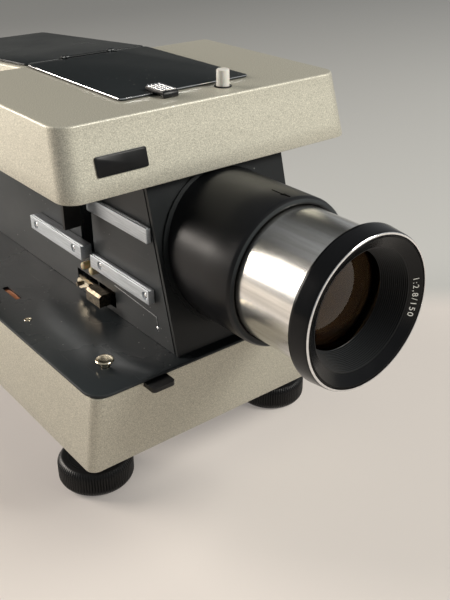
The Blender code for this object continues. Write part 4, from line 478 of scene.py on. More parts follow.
def eased(points, radius, steps=3, closed=False):
    """Round each corner of a polyline with a quadratic curve that starts and ends one radius away
    from the corner, or less where a side is short."""
    points = np.array(points, dtype=float)
    count = len(points)
    out = []
    for i in range(count):
        if not closed and i in (0, count - 1):
            out.append(points[i][None, :])
            continue
        before = points[i - 1] - points[i]
        beyond = points[(i + 1) % count] - points[i]
        reach_a = min(radius, np.linalg.norm(before) * 0.45)
        reach_b = min(radius, np.linalg.norm(beyond) * 0.45)
        start = points[i] + before / max(np.linalg.norm(before), 1e-12) * reach_a
        end = points[i] + beyond / max(np.linalg.norm(beyond), 1e-12) * reach_b
        t = np.linspace(0.0, 1.0, steps + 1)[:, None]
        out.append((1 - t) ** 2 * start + 2 * t * (1 - t) * points[i] + t ** 2 * end)
    return np.concatenate(out)


def turned(name, profile, centre, direction, finish_keys, steps=96, bands=None, wrap=False, sharp=32.0, ripple=None):
    """Surface of revolution: a profile of (radius, place along the axis) carried round the axis.
    ripple(angle, row) may take a depth off the radius, as a knurl does."""
    profile = np.array(profile, dtype=float)
    axis = np.array(direction, dtype=float)
    axis /= np.linalg.norm(axis)
    side = np.cross(axis, (0.0, 0.0, 1.0) if abs(axis[2]) < 0.9 else (1.0, 0.0, 0.0))
    side /= np.linalg.norm(side)
    other = np.cross(axis, side)
    angle = np.linspace(0.0, 2 * math.pi, steps, endpoint=False)
    radius = np.repeat(profile[:, :1], steps, axis=1)
    if ripple is not None:
        radius = radius - ripple(angle[None, :], profile[:, 1:2])
    spoke = np.cos(angle)[:, None] * side + np.sin(angle)[:, None] * other
    rings = np.array(centre) + radius[:, :, None] * spoke[None] + profile[:, 1][:, None, None] * axis
    return surface(name, rings, finish_keys, wrap=wrap, caps=(profile[0, 0] > 0, profile[-1, 0] > 0),
                   bands=bands, sharp=sharp)


def plan_ring(half, front, rear, front_radius, rear_radius, height, steps=8):
    """Ring of a rounded rectangle in plan: four quarter arcs joined by straight sides. height is a
    number or a function of Y."""
    quarter = np.linspace(0.0, math.pi / 2, steps + 1)
    arcs = []
    behind, ahead = (rear - rear_radius, rear_radius), (front + front_radius, front_radius)
    for turn, (sign, (y, radius)) in enumerate(((1, behind), (-1, behind), (-1, ahead), (1, ahead))):
        angle = quarter + turn * math.pi / 2
        x = sign * (half - radius) + radius * np.cos(angle)
        arcs.append(np.stack([x, y + radius * np.sin(angle)], axis=-1))
    flat = np.concatenate(arcs)
    level = height(flat[:, 1]) if callable(height) else np.full(len(flat), height)
    return np.concatenate([flat, level[:, None]], axis=1)


def laid(name, outline, low, high, finish_keys, origin=(0, 0, 0), u=(1, 0, 0), v=(0, 1, 0), n=(0, 0, 1),
         ease=0.0003, sharp=32.0):
    """A closed outline, given in the plane of u and v, carried from low to high along n; its rims
    are eased by drawing the end rings in towards the outline's middle."""
    outline = np.array(outline, dtype=float)
    edge = np.roll(outline, -1, axis=0) - outline
    normal = np.stack([edge[:, 1], -edge[:, 0]], axis=1)
    normal /= np.maximum(np.linalg.norm(edge, axis=1, keepdims=True), 1e-12)
    area = np.sum(outline[:, 0] * np.roll(outline[:, 1], -1) - np.roll(outline[:, 0], -1) * outline[:, 1])
    corner = normal + np.roll(normal, 1, axis=0)
    corner /= np.maximum(np.sum(corner * normal, axis=1, keepdims=True), 0.5)
    inward = -corner * np.sign(area)
    u, v, n = (np.array(way, dtype=float) for way in (u, v, n))
    rings = []
    for place, inset in ((low, ease), (low + ease * 0.3, ease * 0.3), (low + ease, 0.0),
                         (high - ease, 0.0), (high - ease * 0.3, ease * 0.3), (high, ease)):
        flat = outline + inward * inset
        rings.append(np.array(origin) + flat[:, :1] * u + flat[:, 1:] * v + place * n)
    return surface(name, np.array(rings), finish_keys, sharp=sharp)


ACROSS = {0: {"u": (0, 1, 0), "v": (0, 0, 1), "n": (1, 0, 0)},
          1: {"u": (1, 0, 0), "v": (0, 0, 1), "n": (0, 1, 0)},
          2: {"u": (1, 0, 0), "v": (0, 1, 0), "n": (0, 0, 1)}}


def extruded(name, outline, low, high, axis, finish_keys, ease=0.0003, sharp=32.0):
    """An outline across one world axis, carried along it."""
    return laid(name, outline, low, high, finish_keys, ease=ease, sharp=sharp, **ACROSS[axis])


def carve(piece, *tools, sharp=32.0):
    """Cut tools out of a piece for good, then remove them."""
    for tool in tools:
        modifier = piece.modifiers.new(tool.name, "BOOLEAN")
        modifier.operation = "DIFFERENCE"
        modifier.solver = "EXACT"
        modifier.object = tool
    bpy.context.view_layer.update()
    graph = bpy.context.evaluated_depsgraph_get()
    mesh = bpy.data.meshes.new_from_object(piece.evaluated_get(graph))
    piece.modifiers.clear()
    old = piece.data
    keep = list(old.materials)
    rank = np.empty(len(mesh.polygons), dtype=np.int32)
    mesh.polygons.foreach_get("material_index", rank)
    piece.data = mesh
    bpy.data.meshes.remove(old)
    mesh.name = piece.name
    mesh.materials.clear()
    for material in keep:
        mesh.materials.append(material)
    mesh.polygons.foreach_set("material_index", np.where(rank < len(keep), rank, 0).astype(np.int32))
    mesh.shade_smooth()
    mesh.set_sharp_from_angle(angle=math.radians(sharp))
    for tool in tools:
        data = tool.data
        bpy.data.objects.remove(tool, do_unlink=True)
        bpy.data.meshes.remove(data)


def block(name, low, high, radius=0.0):
    """An upright cutting block, with rounded corners if it has a radius; it carves and is removed."""
    outline = [(low[0], low[1]), (high[0], low[1]), (high[0], high[1]), (low[0], high[1])]
    if radius > 0:
        outline = eased(outline, radius, 4, closed=True)
    return extruded(name, outline, low[2], high[2], 2, ["deck"], ease=0.00002)


def hang(piece, slot, *nodes, body=BODY):
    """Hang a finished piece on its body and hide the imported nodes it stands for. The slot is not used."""
    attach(piece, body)
    if nodes:
        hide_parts(*nodes)
    return piece


# ---------------------------------------------------------------- cover and lamp house

SPINE_HALF = 0.0482
COVER_LOW = DECK_Z + 0.0969
COVER_HIGH = DECK_Z + 0.1344
RIDGE_Y = 0.168
FALL = math.tan(math.radians(4.5))


def hood(name, plan, low, high, wall, edge, roof):
    """Moulded hood: outer wall, rounded top edge and roof outside; ceiling and inner wall inside.
    plan(share, inset) gives the ring at a share of the height; the top edge follows a quarter
    circle of the radius edge."""
    turn = np.linspace(0.0, math.pi / 2, 7)
    rise = high - low
    outside = [(0.0, 0.0004, low), (0.0, 0.0001, low + 0.0002), (0.0, 0.0, low + 0.0006)]
    outside += [(share, 0.0, low + share * (rise - edge)) for share in (0.25, 0.5, 0.75)]
    outside += [(1.0, edge * (1 - math.cos(a)), high - edge + edge * math.sin(a)) for a in turn]
    inside = [(1.0, wall + edge * 0.6, high - wall), (1.0, wall, high - wall - edge * 0.6),
              (0.5, wall, (low + high) / 2), (0.0, wall, low + 0.0004), (0.0, wall - 0.0003, low)]
    rings = [roof(plan(share, inset), level - high) for share, inset, level in inside + outside]
    return surface(name, np.array(rings), ["enamel"], sharp=40)


def build_cover():
    """The enamelled cover: a tapering rounded rectangle with a sloping front, its top edge eased,
    cut for the flap, the rod and the lamp's light path."""
    edge = sizes().cover_edge

    def plan(share, inset):
        half = 0.0995 - 0.0029 * share - inset
        front = 0.0251 + 0.0092 * share + inset
        return plan_ring(half, front, RIDGE_Y - inset, max(0.011 - inset, 0.001), max(0.004 - inset, 0.0008), 0.0)

    def level(ring, below_top):
        ring[:, 2] = COVER_HIGH + below_top
        return ring

    cover = hood("cover_enamelled", plan, COVER_LOW, COVER_HIGH, 0.0018, edge, level)
    flap_hole = block("flap_hole", (-0.0416, 0.0608, COVER_HIGH - 0.004), (0.0416, 0.1632, COVER_HIGH + 0.004), 0.003)
    window = block("ridge_hole", (-SPINE_HALF - 0.0008, 0.160, COVER_LOW - 0.002),
                   (SPINE_HALF + 0.0008, 0.172, COVER_HIGH - 0.006))
    rod_hole = turned("rod_hole", [(0.0, -0.006), (0.00405, -0.006), (0.00405, 0.006), (0.0, 0.006)],
                      (ROD_X, ROD_Y, COVER_HIGH), (0, 0, 1), ["enamel"], steps=48)
    carve(cover, flap_hole, window, rod_hole)
    hang(cover, "enamel_beige", "top_cover")


def build_lamp_house():
    """The narrow hood behind the ridge: its roof falls to the back by the tangent of 4.5 degrees."""
    def plan(share, inset):
        half = 0.0515 - 0.0035 * share - inset
        return plan_ring(half, RIDGE_Y + 0.0003 + inset, 0.327 - inset, 0.0006,
                         max(0.005 - inset, 0.001), 0.0)

    def level(ring, below_top):
        share = 1.0 + below_top / (COVER_HIGH - COVER_LOW)
        ring[:, 2] = COVER_HIGH + below_top - share * (ring[:, 1] - RIDGE_Y) * FALL
        return ring

    house = hood("lamp_house_enamelled", plan, COVER_LOW, COVER_HIGH, 0.0015, 0.0016, level)
    front = block("house_front", (-0.0462, 0.160, COVER_LOW - 0.002), (0.0462, 0.1712, COVER_HIGH - 0.0035))
    lamp_hole = block("lamp_hole", (-0.0416, 0.1743, COVER_HIGH - 0.022), (0.0416, 0.313, COVER_HIGH + 0.004), 0.003)
    carve(house, front, lamp_hole)
    hang(house, "enamel_beige", "lamp_house")


def build_badge():
    """Bare badge plate on the cover's sloping front: black field, thin bright rim, no words."""
    lean = math.atan2(0.0092, 0.0375)
    up = (0.0, math.sin(lean), math.cos(lean))
    out = (0.0, -math.cos(lean), math.sin(lean))
    z = DECK_Z + 0.11275
    middle = (-0.0635, 0.0251 + (z - COVER_LOW) * math.tan(lean), z)
    half_x, half_z = sizes().badge_width / 2, 0.0053
    for name, grow, low, high, key in (("badge_rim", 0.0, 0.00002, 0.0007, "tube"),
                                       ("badge_field", -0.0007, 0.0004, 0.0008, "plastic")):
        a, b = half_x + grow, half_z + grow
        outline = eased([(-a, -b), (a, -b), (a, b), (-a, b)], 0.0013, 4, closed=True)
        plate = laid(name, outline, low, high, [key], middle, (1, 0, 0), up, out, ease=0.00015)
        hang(plate, "paint_black")


# ---------------------------------------------------------------- base, deck and feet

BASE_TOP = 0.1057
BASE_LEAN = math.tan(math.radians(12.7))


def base_ring(inset, z):
    """Ring of the base's wall at a height: the front leans back by the tangent of 12.7 degrees."""
    front = 0.001 + (BASE_TOP - z) * BASE_LEAN + inset * 1.025
    return plan_ring(0.1060 - inset, front, 0.329 - inset, 0.0065 - inset, 0.012 - inset, z, steps=10)


def build_base():
    """Enamelled wall of the base: a leaning rounded ring with eased rims, cut for keys and fittings."""
    low, wall = 0.048, 0.0025
    levels = [(wall, low + 0.0004), (wall, 0.077), (wall, BASE_TOP - 0.0004), (wall - 0.0004, BASE_TOP),
              (0.0004, BASE_TOP), (0.0001, BASE_TOP - 0.0002), (0.0, BASE_TOP - 0.0006), (0.0, 0.09), (0.0, 0.076),
              (0.0, 0.062), (0.0, low + 0.0010), (0.0003, low + 0.0003), (0.0010, low), (wall - 0.0004, low)]
    rings = [base_ring(inset, z) for inset, z in levels]
    base = surface("base_enamelled", np.array(rings), ["enamel"], wrap=True, sharp=40)
    cuts = []
    for side in (-1, 1):
        xs = sorted((side * 0.0757, side * 0.0603))
        cuts.append(block("key_hole", (xs[0], -0.010, BASE_TOP - 0.003), (xs[1], 0.012, BASE_TOP + 0.004)))
    cuts.append(block("inlet_hole", (-0.0778, 0.320, 0.0634), (-0.0502, 0.334, 0.0840)))
    cuts.append(block("switch_hole", (0.0577, 0.320, 0.0627), (0.0703, 0.334, 0.0847)))
    carve(base, *cuts)
    hang(base, "enamel_beige", "base_housing")


def build_deck():
    """Steel deck: a rounded plate with a rolled rim, its holes and slots, and the small fittings."""
    def ring(inset, z):
        return plan_ring(0.1075 - inset, inset, 0.330 - inset, 0.012 - inset, 0.012 - inset, z, steps=12)

    turn = np.linspace(-math.pi / 2, math.pi / 2, 9)
    rim = 0.001
    rings = [ring(rim * (1 - math.cos(a)), DECK_Z - rim + rim * math.sin(a)) for a in turn]
    # Painted shade: seven of the rim's eight rows take the darker copy of the deck paint.
    deck = surface("deck_painted", np.array(rings), ["deck", "rim"], sharp=40, bands=[1] * 7 + [0])
    cuts = [turned("air_hole", [(0.0, -0.006), (0.0345, -0.006), (0.0345, 0.006), (0.0, 0.006)],
                   (0.0, 0.268, DECK_Z), (0, 0, 1), ["deck"], steps=72)]
    for side in (-1, 1):
        xs = sorted((side * 0.0842, side * 0.0882))
        cuts.append(block("sensor_hole", (xs[0], 0.129, DECK_Z - 0.006), (xs[1], 0.150, DECK_Z + 0.006), 0.0008))
        cuts.append(turned("stud_hole", [(0.0, -0.006), (0.0028, -0.006), (0.0028, 0.006), (0.0, 0.006)],
                           (side * STUD_X, STUD_Y, DECK_Z), (0, 0, 1), ["deck"], steps=32))
    carve(deck, *cuts)
    hang(deck, "paint_dark_grey", "deck_plate")
    for side, label in SIDES:
        rivet = turned("deck_rivet_" + label, dome_profile(0.0024, 0.0007, 0.0), (side * 0.0942, 0.1007, DECK_Z),
                       (0, 0, 1), ["nickel"], steps=32)
        hang(rivet, "nickel")
        arch = [(y, 0.0006 * math.sin(math.pi * (y - 0.1294) / 0.0202)) for y in np.linspace(0.1294, 0.1496, 15)]
        outline = [(y, DECK_Z - 0.0018 + z) for y, z in arch] + [(y, DECK_Z - 0.0014 + z) for y, z in arch[::-1]]
        xs = sorted((side * 0.0846, side * 0.0878))
        strip = extruded("sensor_strip_" + label, outline, xs[0], xs[1], 0, ["copper"], ease=0.0001)
        hang(strip, "nickel")


def dome_profile(radius, height, low):
    """Profile of a low dome: height times the square root of one less the share squared."""
    share = np.linspace(0.0, 1.0, 9)
    crown = [(radius * math.sin(s * math.pi / 2), low + height * math.cos(s * math.pi / 2)) for s in share]
    return crown + [(radius, low - 0.0002), (0.0, low - 0.0002)]


def build_feet():
    """Foot wheels: turned discs whose flanks carry vertical ribs, a raised cosine round the rim."""
    knurls = sizes().knurls
    profile = [(0.0, 0.0057), (0.0053, 0.0057), (0.0053, 0.0176), (0.0057, 0.0180), (0.0118, 0.0180),
               (0.0124, 0.0174), (0.0170, 0.0172), (0.0178, 0.0180), (0.0206, 0.0180), (0.0216, 0.0176),
               (0.0226, 0.0168), (0.0238, 0.0154), (0.0244, 0.0142), (0.0245, 0.0134), (0.0245, 0.0095),
               (0.0245, 0.0050), (0.0244, 0.0040), (0.0238, 0.0026), (0.0226, 0.0010), (0.0214, 0.0002),
               (0.0206, 0.0), (0.0150, 0.0), (0.0140, 0.0006), (0.0, 0.0006)]

    def ripple(angle, row):
        mask = np.clip((row - 0.0006) / 0.002, 0.0, 1.0) * np.clip((0.0176 - row) / 0.002, 0.0, 1.0)
        return 0.0006 * mask * (0.5 - 0.5 * np.cos(knurls * angle)) ** 2

    def outer_only(angle, row):
        outside = (np.array(profile)[:, :1] > 0.0212).astype(float)
        return ripple(angle, row) * outside

    for end, y in FOOT_ROWS:
        for side, label in SIDES:
            place = "%s_%s" % (end, label)
            wheel = turned("foot_wheel_ribbed_" + place, profile, (side * FOOT_X, y, 0.0), (0, 0, 1),
                           ["plastic"], steps=knurls * 6, ripple=outer_only)
            hang(wheel, "plastic_black", "foot_wheel_" + place, body="wheel_" + place)


# ---------------------------------------------------------------- flap, panel, catch and rod

def build_flap():
    """Flap: an eased plate with a bright rolled front edge, and the panel behind the ridge."""
    low, high = COVER_HIGH + 0.0003, COVER_HIGH + 0.0015
    half = FLAP_HALF
    outline = eased([(-half, 0.0578), (half, 0.0578), (half, 0.1671), (-half, 0.1671)], 0.003, 6, closed=True)
    flap = laid("flap_painted", outline, low, high, ["panel", "bright"], ease=0.0004)
    centres = np.array([face.center for face in flap.data.polygons])
    normals = np.array([face.normal for face in flap.data.polygons])
    near_rim = (centres[:, 1] < 0.0585 + SHIFT_Y) | (centres[:, 0] < -half + 0.002)
    edge = (normals[:, 2] > 0.1) & (normals[:, 2] < 0.95) & near_rim
    flap.data.polygons.foreach_set("material_index", edge.astype(np.int32))
    cuts = [block("knuckle_room", (x - 0.0018, 0.164, low - 0.002), (x + 0.0018, 0.172, high + 0.002))
            for x in (-0.0184, 0.0184)]
    carve(flap, *cuts)
    hang(flap, "paint_black", "flap", body="flap")
    start, end = RIDGE_Y + 0.0009, RIDGE_Y + 0.151
    outline = eased([(-half, start), (half, start), (half, end), (-half, end)], 0.003, 6, closed=True)
    outline = outline[(outline[:, 1] > start + 0.00001) | (np.abs(outline[:, 0]) > half - 0.00301)]
    slope = math.radians(4.5)
    panel = laid("rear_panel_painted", [(x, y - RIDGE_Y) for x, y in outline], 0.0003, 0.0015, ["panel"],
                 (0.0, RIDGE_Y, COVER_HIGH), (1, 0, 0), (0.0, math.cos(slope), -math.sin(slope)),
                 (0.0, math.sin(slope), math.cos(slope)), ease=0.00025)
    cuts = [block("knuckle_room", (x - 0.0018, 0.164, low - 0.002), (x + 0.0018, 0.172, high + 0.002))
            for x in (-0.0156, 0.0156)]
    carve(panel, *cuts)
    hang(panel, "paint_black", "rear_panel")
    axis_z = COVER_HIGH + 0.0018
    for side, label in SIDES:
        for owner, x0, body in (("flap", 0.01455, "flap"), ("panel", 0.01715, BODY)):
            inner, outer = 0.00095, 0.0015
            ring = [(inner, 0.0), (outer - 0.0002, 0.0), (outer, 0.0002), (outer, 0.0021), (outer - 0.0002, 0.0023),
                    (inner, 0.0023)]
            start_x = side * x0
            eye = turned("hinge_eye_%s_%s" % (owner, label), ring, (start_x, RIDGE_Y, axis_z), (side, 0, 0),
                         ["panel"], steps=32, wrap=True)
            hang(eye, "paint_black", body=body)


def build_catch():
    """Catch: a dark slide with a turned-down nose, and four bright beads along its top, whose
    radius follows a cosine along their length."""
    front, rear = 0.0475, 0.0655
    base, nose = COVER_HIGH + 0.0018, COVER_HIGH + 0.0003
    crown = base + 0.0022
    outline = [(front + 0.0004, nose), (0.0512, nose), (0.0512, base), (rear, base), (rear, crown - 0.0004),
               (rear - 0.0006, crown), (front + 0.0016, crown), (front + 0.0003, crown - 0.0010),
               (front, nose + 0.0016), (front, nose + 0.0004)]
    catch = extruded("catch_slide", outline, CATCH_X - 0.005, CATCH_X + 0.005, 0, ["plastic"], ease=0.0003, sharp=40)
    hang(catch, "steel_zinc", "flap_catch", body="catch")
    along = np.linspace(front + 0.0018, rear - 0.0008, 80)
    wave = 0.5 - 0.5 * np.cos((along - along[0]) / (along[-1] - along[0]) * 2 * math.pi * 9)
    profile = [(0.0, along[0] - 0.0001)] + [(0.00085 - 0.00030 * w, y) for w, y in zip(wave, along)]
    profile += [(0.0, along[-1] + 0.0001)]
    for i in range(4):
        bead = turned("catch_bead_%d" % i, profile, (CATCH_X + 0.0024 * (i - 1.5), 0.0, crown - 0.0001), (0, 1, 0),
                      ["bright"], steps=20, sharp=60)
        hang(bead, "steel_zinc", body="catch")


def build_rod():
    """Frosted push rod with a soft rim, and the dark bush round its hole."""
    top = COVER_HIGH
    profile = [(0.0, top + 0.0100), (0.0026, top + 0.0100), (0.0033, top + 0.00985), (0.0036, top + 0.0096),
               (0.00375, top + 0.0091), (0.00375, top - 0.0020), (0.0053, top - 0.0022), (0.0055, top - 0.0024),
               (0.0055, top - 0.0038), (0.0053, top - 0.0040), (0.00375, top - 0.0042), (0.00375, top - 0.0157),
               (0.0034, top - 0.0160), (0.0, top - 0.0160)]
    rod = turned("push_rod_frosted", profile, (ROD_X, ROD_Y, 0.0), (0, 0, 1), ["acrylic"], steps=64)
    hang(rod, "acrylic_frosted", "push_rod", body="rod")
    bush = turned("rod_bush", [(0.00415, -0.0008), (0.0050, 0.0), (0.0052, 0.0003), (0.0049, 0.0006),
                               (0.0044, 0.0007), (0.00412, 0.0004)], (ROD_X, ROD_Y, top), (0, 0, 1),
                  ["plastic"], steps=64, wrap=True)
    hang(bush, "plastic_black")


# ---------------------------------------------------------------- lens

def lens_piece(name, profile, keys, slot, *node, body="lens", **more):
    """A piece turned about the optical axis; the profile gives (radius, Y)."""
    flipped = [(radius, -y) for radius, y in profile]
    piece = turned(name, flipped, (0.0, 0.0, AXIS_Z), (0, -1, 0), keys, **more)
    return hang(piece, slot, *node, body=body)


def build_tube():
    """Black mount tube: a plain turned tube, its front edge chamfered, and the index arrow on top."""
    outer, bore = 0.043, 0.0387
    profile = [(bore, 0.058), (bore, -0.0305), (bore + 0.0004, -0.0316), (bore + 0.0012, -0.0320),
               (outer - 0.0020, -0.0320), (outer - 0.0012, -0.0317), (outer - 0.0003, -0.0305), (outer, -0.0293),
               (outer, -0.010), (outer, 0.02), (outer, 0.058)]
    # Band 1, the bore, takes the darkest copy of the black anodising: black with painted shade.
    bands = [1, 0, 0, 2, 2, 0, 0, 0, 0, 0, 0]
    lens_piece("mount_tube_turned", profile, ["tube", "cone", "rim"], "anodised_black", "lens_mount_tube",
               body=BODY, steps=192, bands=bands, wrap=True)
    arrow = laid("tube_index_arrow", [(-0.0003, 0.0070), (0.0003, 0.0070), (0.0004, -0.0010), (0.0014, -0.0014),
                                      (0.0008, -0.0066), (-0.0002, -0.0070), (-0.0006, -0.0030), (-0.0015, -0.0012),
                                      (-0.0004, -0.0008)],
                 -0.0002, 0.00012, ["ink"], (0.0, -0.0220, AXIS_Z + outer), ease=0.00003)
    hang(arrow, "anodised_black")


def build_lens():
    """Sliding lens: bright barrel, gloss collar, chromed ring, ridged cone and its two glasses."""
    barrel = [(0.0355, 0.048), (0.0355, -0.0815), (0.0360, -0.0820), (0.0379, -0.0820), (0.0384, -0.0815),
              (0.0384, -0.060), (0.0384, -0.030), (0.0384, 0.0), (0.0384, 0.0475), (0.0380, 0.048)]
    lens_piece("barrel_bright", barrel, ["barrel", "cone"], "aluminium_polished", "lens_barrel", steps=192,
               bands=[1, 1, 0, 0, 0, 0, 0, 0, 0, 0], wrap=True)
    collar = [(0.0387, -0.0768), (0.0427, -0.0768), (0.0433, -0.0770), (0.0435, -0.0776), (0.04335, -0.0790),
              (0.0429, -0.0830), (0.04245, -0.0868), (0.04225, -0.0877), (0.0420, -0.0882), (0.0417, -0.08845),
              (0.0413, -0.0885), (0.0409, -0.0885), (0.0408, -0.0882), (0.0408, -0.0826), (0.0387, -0.0826)]
    lens_piece("collar_gloss", collar, ["collar", "bright"], "anodised_black", "front_collar", steps=192,
               bands=[0, 0, 0, 0, 0, 0, 0, 0, 1, 1, 1, 1, 0, 0, 0], wrap=True)
    steps = sizes().cone_ridges
    ridge = []
    for i in range(steps):
        for share, lift in ((0.0, 0.0), (0.30, 0.00065), (0.55, 0.00065), (0.62, 0.0)):
            part = (i + share) / steps
            ridge.append((0.0335 + (0.0279 - 0.0335) * part - lift + 0.0003, -0.0847 + 0.0149 * part))
    front = [(0.0352, -0.0698), (0.0352, -0.0823), (0.0405, -0.0823), (0.0405, -0.0880), (0.0402, -0.0882),
             (0.0400, -0.0882), (0.0399, -0.0878), (0.0397, -0.0878), (0.0396, -0.0882), (0.0394, -0.0882),
             (0.0350, -0.0856), (0.0336, -0.0848)]
    profile = front + ridge + [(0.0279, -0.0698)]
    # The cone itself takes the darkest copy of the black anodising: black with painted shade.
    lens_piece("cone_ridged", profile, ["cone", "collar", "rim"], "anodised_black", "baffle_ring",
               steps=160, wrap=True, sharp=25, bands=[0] + [1] * 11 + [0, 2, 0, 0] * steps + [0])
    lens_piece("front_glass_domed", glass_profile(0.0276, 0.0352, -0.0695, 0.0075, 0.0046), ["glass"],
               "optical_glass", "front_lens", steps=128)
    inner = [(r, y + 0.013) for r, y in glass_profile(0.0262, 0.0350, -0.0695, 0.006, 0.0030)]
    lens_piece("inner_glass_domed", inner, ["amber"], "optical_glass", steps=96)
    stop = [(0.0351, -0.0440), (0.0351, -0.0425), (0.0200, -0.0425), (0.0190, -0.0430), (0.0200, -0.0440)]
    lens_piece("inner_stop", stop, ["cone"], "anodised_black", steps=96, wrap=True)


def glass_profile(dome_radius, edge_radius, front, thickness, sag):
    """Lens in section: a domed front whose depth grows with the square of the radius, a flat rim
    and a weaker dome behind."""
    share = np.linspace(0.0, 1.0, 17)
    dome = [(dome_radius * s, front + sag * s * s) for s in share]
    rim = [(edge_radius - 0.0002, front + sag + 0.0002), (edge_radius, front + sag + 0.0004),
           (edge_radius, front + thickness - 0.0002), (edge_radius - 0.0002, front + thickness)]
    back = [(dome_radius * s, front + thickness + sag * 0.35 * (1 - s * s)) for s in share[::-1]]
    return dome + rim + back


def build_numbers():
    """Speed and focal length in white on the lens ring: flat figures bent so that the distance along
    the line becomes an angle round the axis and the height runs up the ring's cone."""
    curve = bpy.data.curves.new("lens_numbers", "FONT")
    curve.body = "1:2,8/150"
    curve.size = 0.0047
    curve.extrude = 0.00003
    curve.resolution_u = 6
    curve.space_character = 1.28
    source = bpy.data.objects.new("lens_numbers_flat", curve)
    bpy.context.scene.collection.objects.link(source)
    bpy.context.view_layer.update()
    mesh = bpy.data.meshes.new_from_object(source.evaluated_get(bpy.context.evaluated_depsgraph_get()))
    bpy.data.objects.remove(source, do_unlink=True)
    bpy.data.curves.remove(curve)
    flat = np.empty(len(mesh.vertices) * 3)
    mesh.vertices.foreach_get("co", flat)
    flat = flat.reshape(-1, 3)
    slope = math.atan2(0.0032, 0.0058)
    radius = 0.0350 + (flat[:, 1]) * math.cos(slope)
    angle = math.radians(13.4) - flat[:, 0] / 0.0366
    depth = -0.0882 + (0.0394 - radius) * math.tan(slope) - 0.00006 - flat[:, 2]
    bent = np.stack([radius * np.cos(angle), depth + SHIFT_Y, AXIS_Z + radius * np.sin(angle)], axis=1)
    mesh.vertices.foreach_set("co", bent.ravel())
    mesh.materials.clear()
    figures = finished("lens_numbers", mesh, ["engraving"])
    hang(figures, "anodised_black", body="lens")


# ---------------------------------------------------------------- rails, screws and track fittings

RAILS = {
    "upper_front": (0.0287, 0.0930, 0.0635, 0.0724, 0.0030),
    "lower_front": (0.0280, 0.0920, 0.0263, 0.0350, 0.0042),
    "lower_rear": (0.0965, 0.1630, 0.0300, 0.0393, 0.0078),
}
SCREWS = (("lower_front", 0.0808, 0.0315, 35.0), ("lower_front", 0.0318, 0.0307, 80.0),
          ("lower_rear", 0.1557, 0.0344, 20.0), ("lower_rear", 0.1060, 0.0353, 60.0))


def build_rails():
    """Extruded aluminium rails: a bar with two fine grooves along its top, drawn along the wall."""
    rails = {}
    for side, label in SIDES:
        for place, (start, end, low, high, depth) in RAILS.items():
            seat = SPINE_HALF + 0.0003
            outline = [(seat, low), (seat + depth, low), (seat + depth, high)]
            for reach in (0.0011, 0.0019):
                outline += [(seat + depth - reach, high), (seat + depth - reach, high - 0.0007),
                            (seat + depth - reach - 0.0003, high - 0.0007), (seat + depth - reach - 0.0003, high)]
            outline += [(seat, high)]
            outline = eased([(side * x, DECK_Z + z) for x, z in outline], 0.0003, 3, closed=True)
            rail = extruded("rail_drawn_%s_%s" % (label, place), outline, start, end, 1, ["rail", "rail_top"],
                            ease=0.0002, sharp=12.0)
            # Painted shade: the upward faces behind the outer edge take the darker copy of the aluminium.
            lie = np.array([[face.normal.z, abs(face.center.x)] for face in rail.data.polygons])
            dull = (lie[:, 0] > 0.7) & (lie[:, 1] < seat + depth - 0.0006)
            rail.data.polygons.foreach_set("material_index", dull.astype(np.int32))
            rails["%s_%s" % (label, place)] = hang(rail, "aluminium_satin", "rail_%s_%s" % (label, place))
        for i, (place, y, z, turn) in enumerate(SCREWS):
            x = side * (SPINE_HALF + 0.0003 + RAILS[place][4])
            bore = [(0.0, -0.0012), (0.0023, -0.0012), (0.0026, 0.0), (0.0027, 0.002), (0.0, 0.002)]
            well = turned("screw_well", bore, (x, y, DECK_Z + z), (side, 0, 0), ["rail"], steps=40)
            carve(rails["%s_%s" % (label, place)], well, sharp=12.0)
            slotted_screw("rail_screw_%s_%d" % (label, i), (x - side * 0.0010, y, DECK_Z + z), (side, 0, 0), turn)


def slotted_screw(name, place, direction, turn, radius=None, key="bright"):
    """Raised slotted screw: a low dome with a straight slot cut across it."""
    radius = radius or sizes().screw_radius
    head = turned(name, dome_profile(radius, radius * 0.36, 0.0002), place, direction, [key], steps=40)
    way = np.array(direction, dtype=float)
    across = np.array((0.0, math.cos(math.radians(turn)), math.sin(math.radians(turn))))
    upright = np.cross(way, across)
    half = radius * 0.15
    slot = laid(name + "_slot", [(-radius * 1.2, -half), (radius * 1.2, -half), (radius * 1.2, half),
                                 (-radius * 1.2, half)], radius * 0.2, radius, [key], place, across, upright, way,
                ease=0.00002)
    carve(head, slot)
    hang(head, "steel_zinc")


def build_wall_seam():
    """Fine edge of the plate on the left wall, drawn as a thin pale zinc ribbon that is a painted highlight, and the
    small screw at its corner.
    """
    path = [(0.0718, 0.0204), (0.0269, 0.0177), (0.0255, 0.0091)]
    path = eased(path, 0.0008, 4)
    back = path[::-1] + np.array((0.0004, -0.0004))
    outline = np.concatenate([path, back]) + np.array((0.0, DECK_Z))
    for side, label in SIDES:
        xs = sorted((side * (SPINE_HALF + 0.00002), side * (SPINE_HALF + 0.0003)))
        # Painted highlight: a pale zinc ribbon laid along the plate's edge.
        seam = extruded("wall_seam_" + label, outline, xs[0], xs[1], 0, ["zinc"], ease=0.00005)
        hang(seam, "steel_zinc")
        slotted_screw("wall_screw_" + label, (side * SPINE_HALF, 0.0262, DECK_Z + 0.0104), (side, 0, 0), 50.0, 0.0014)


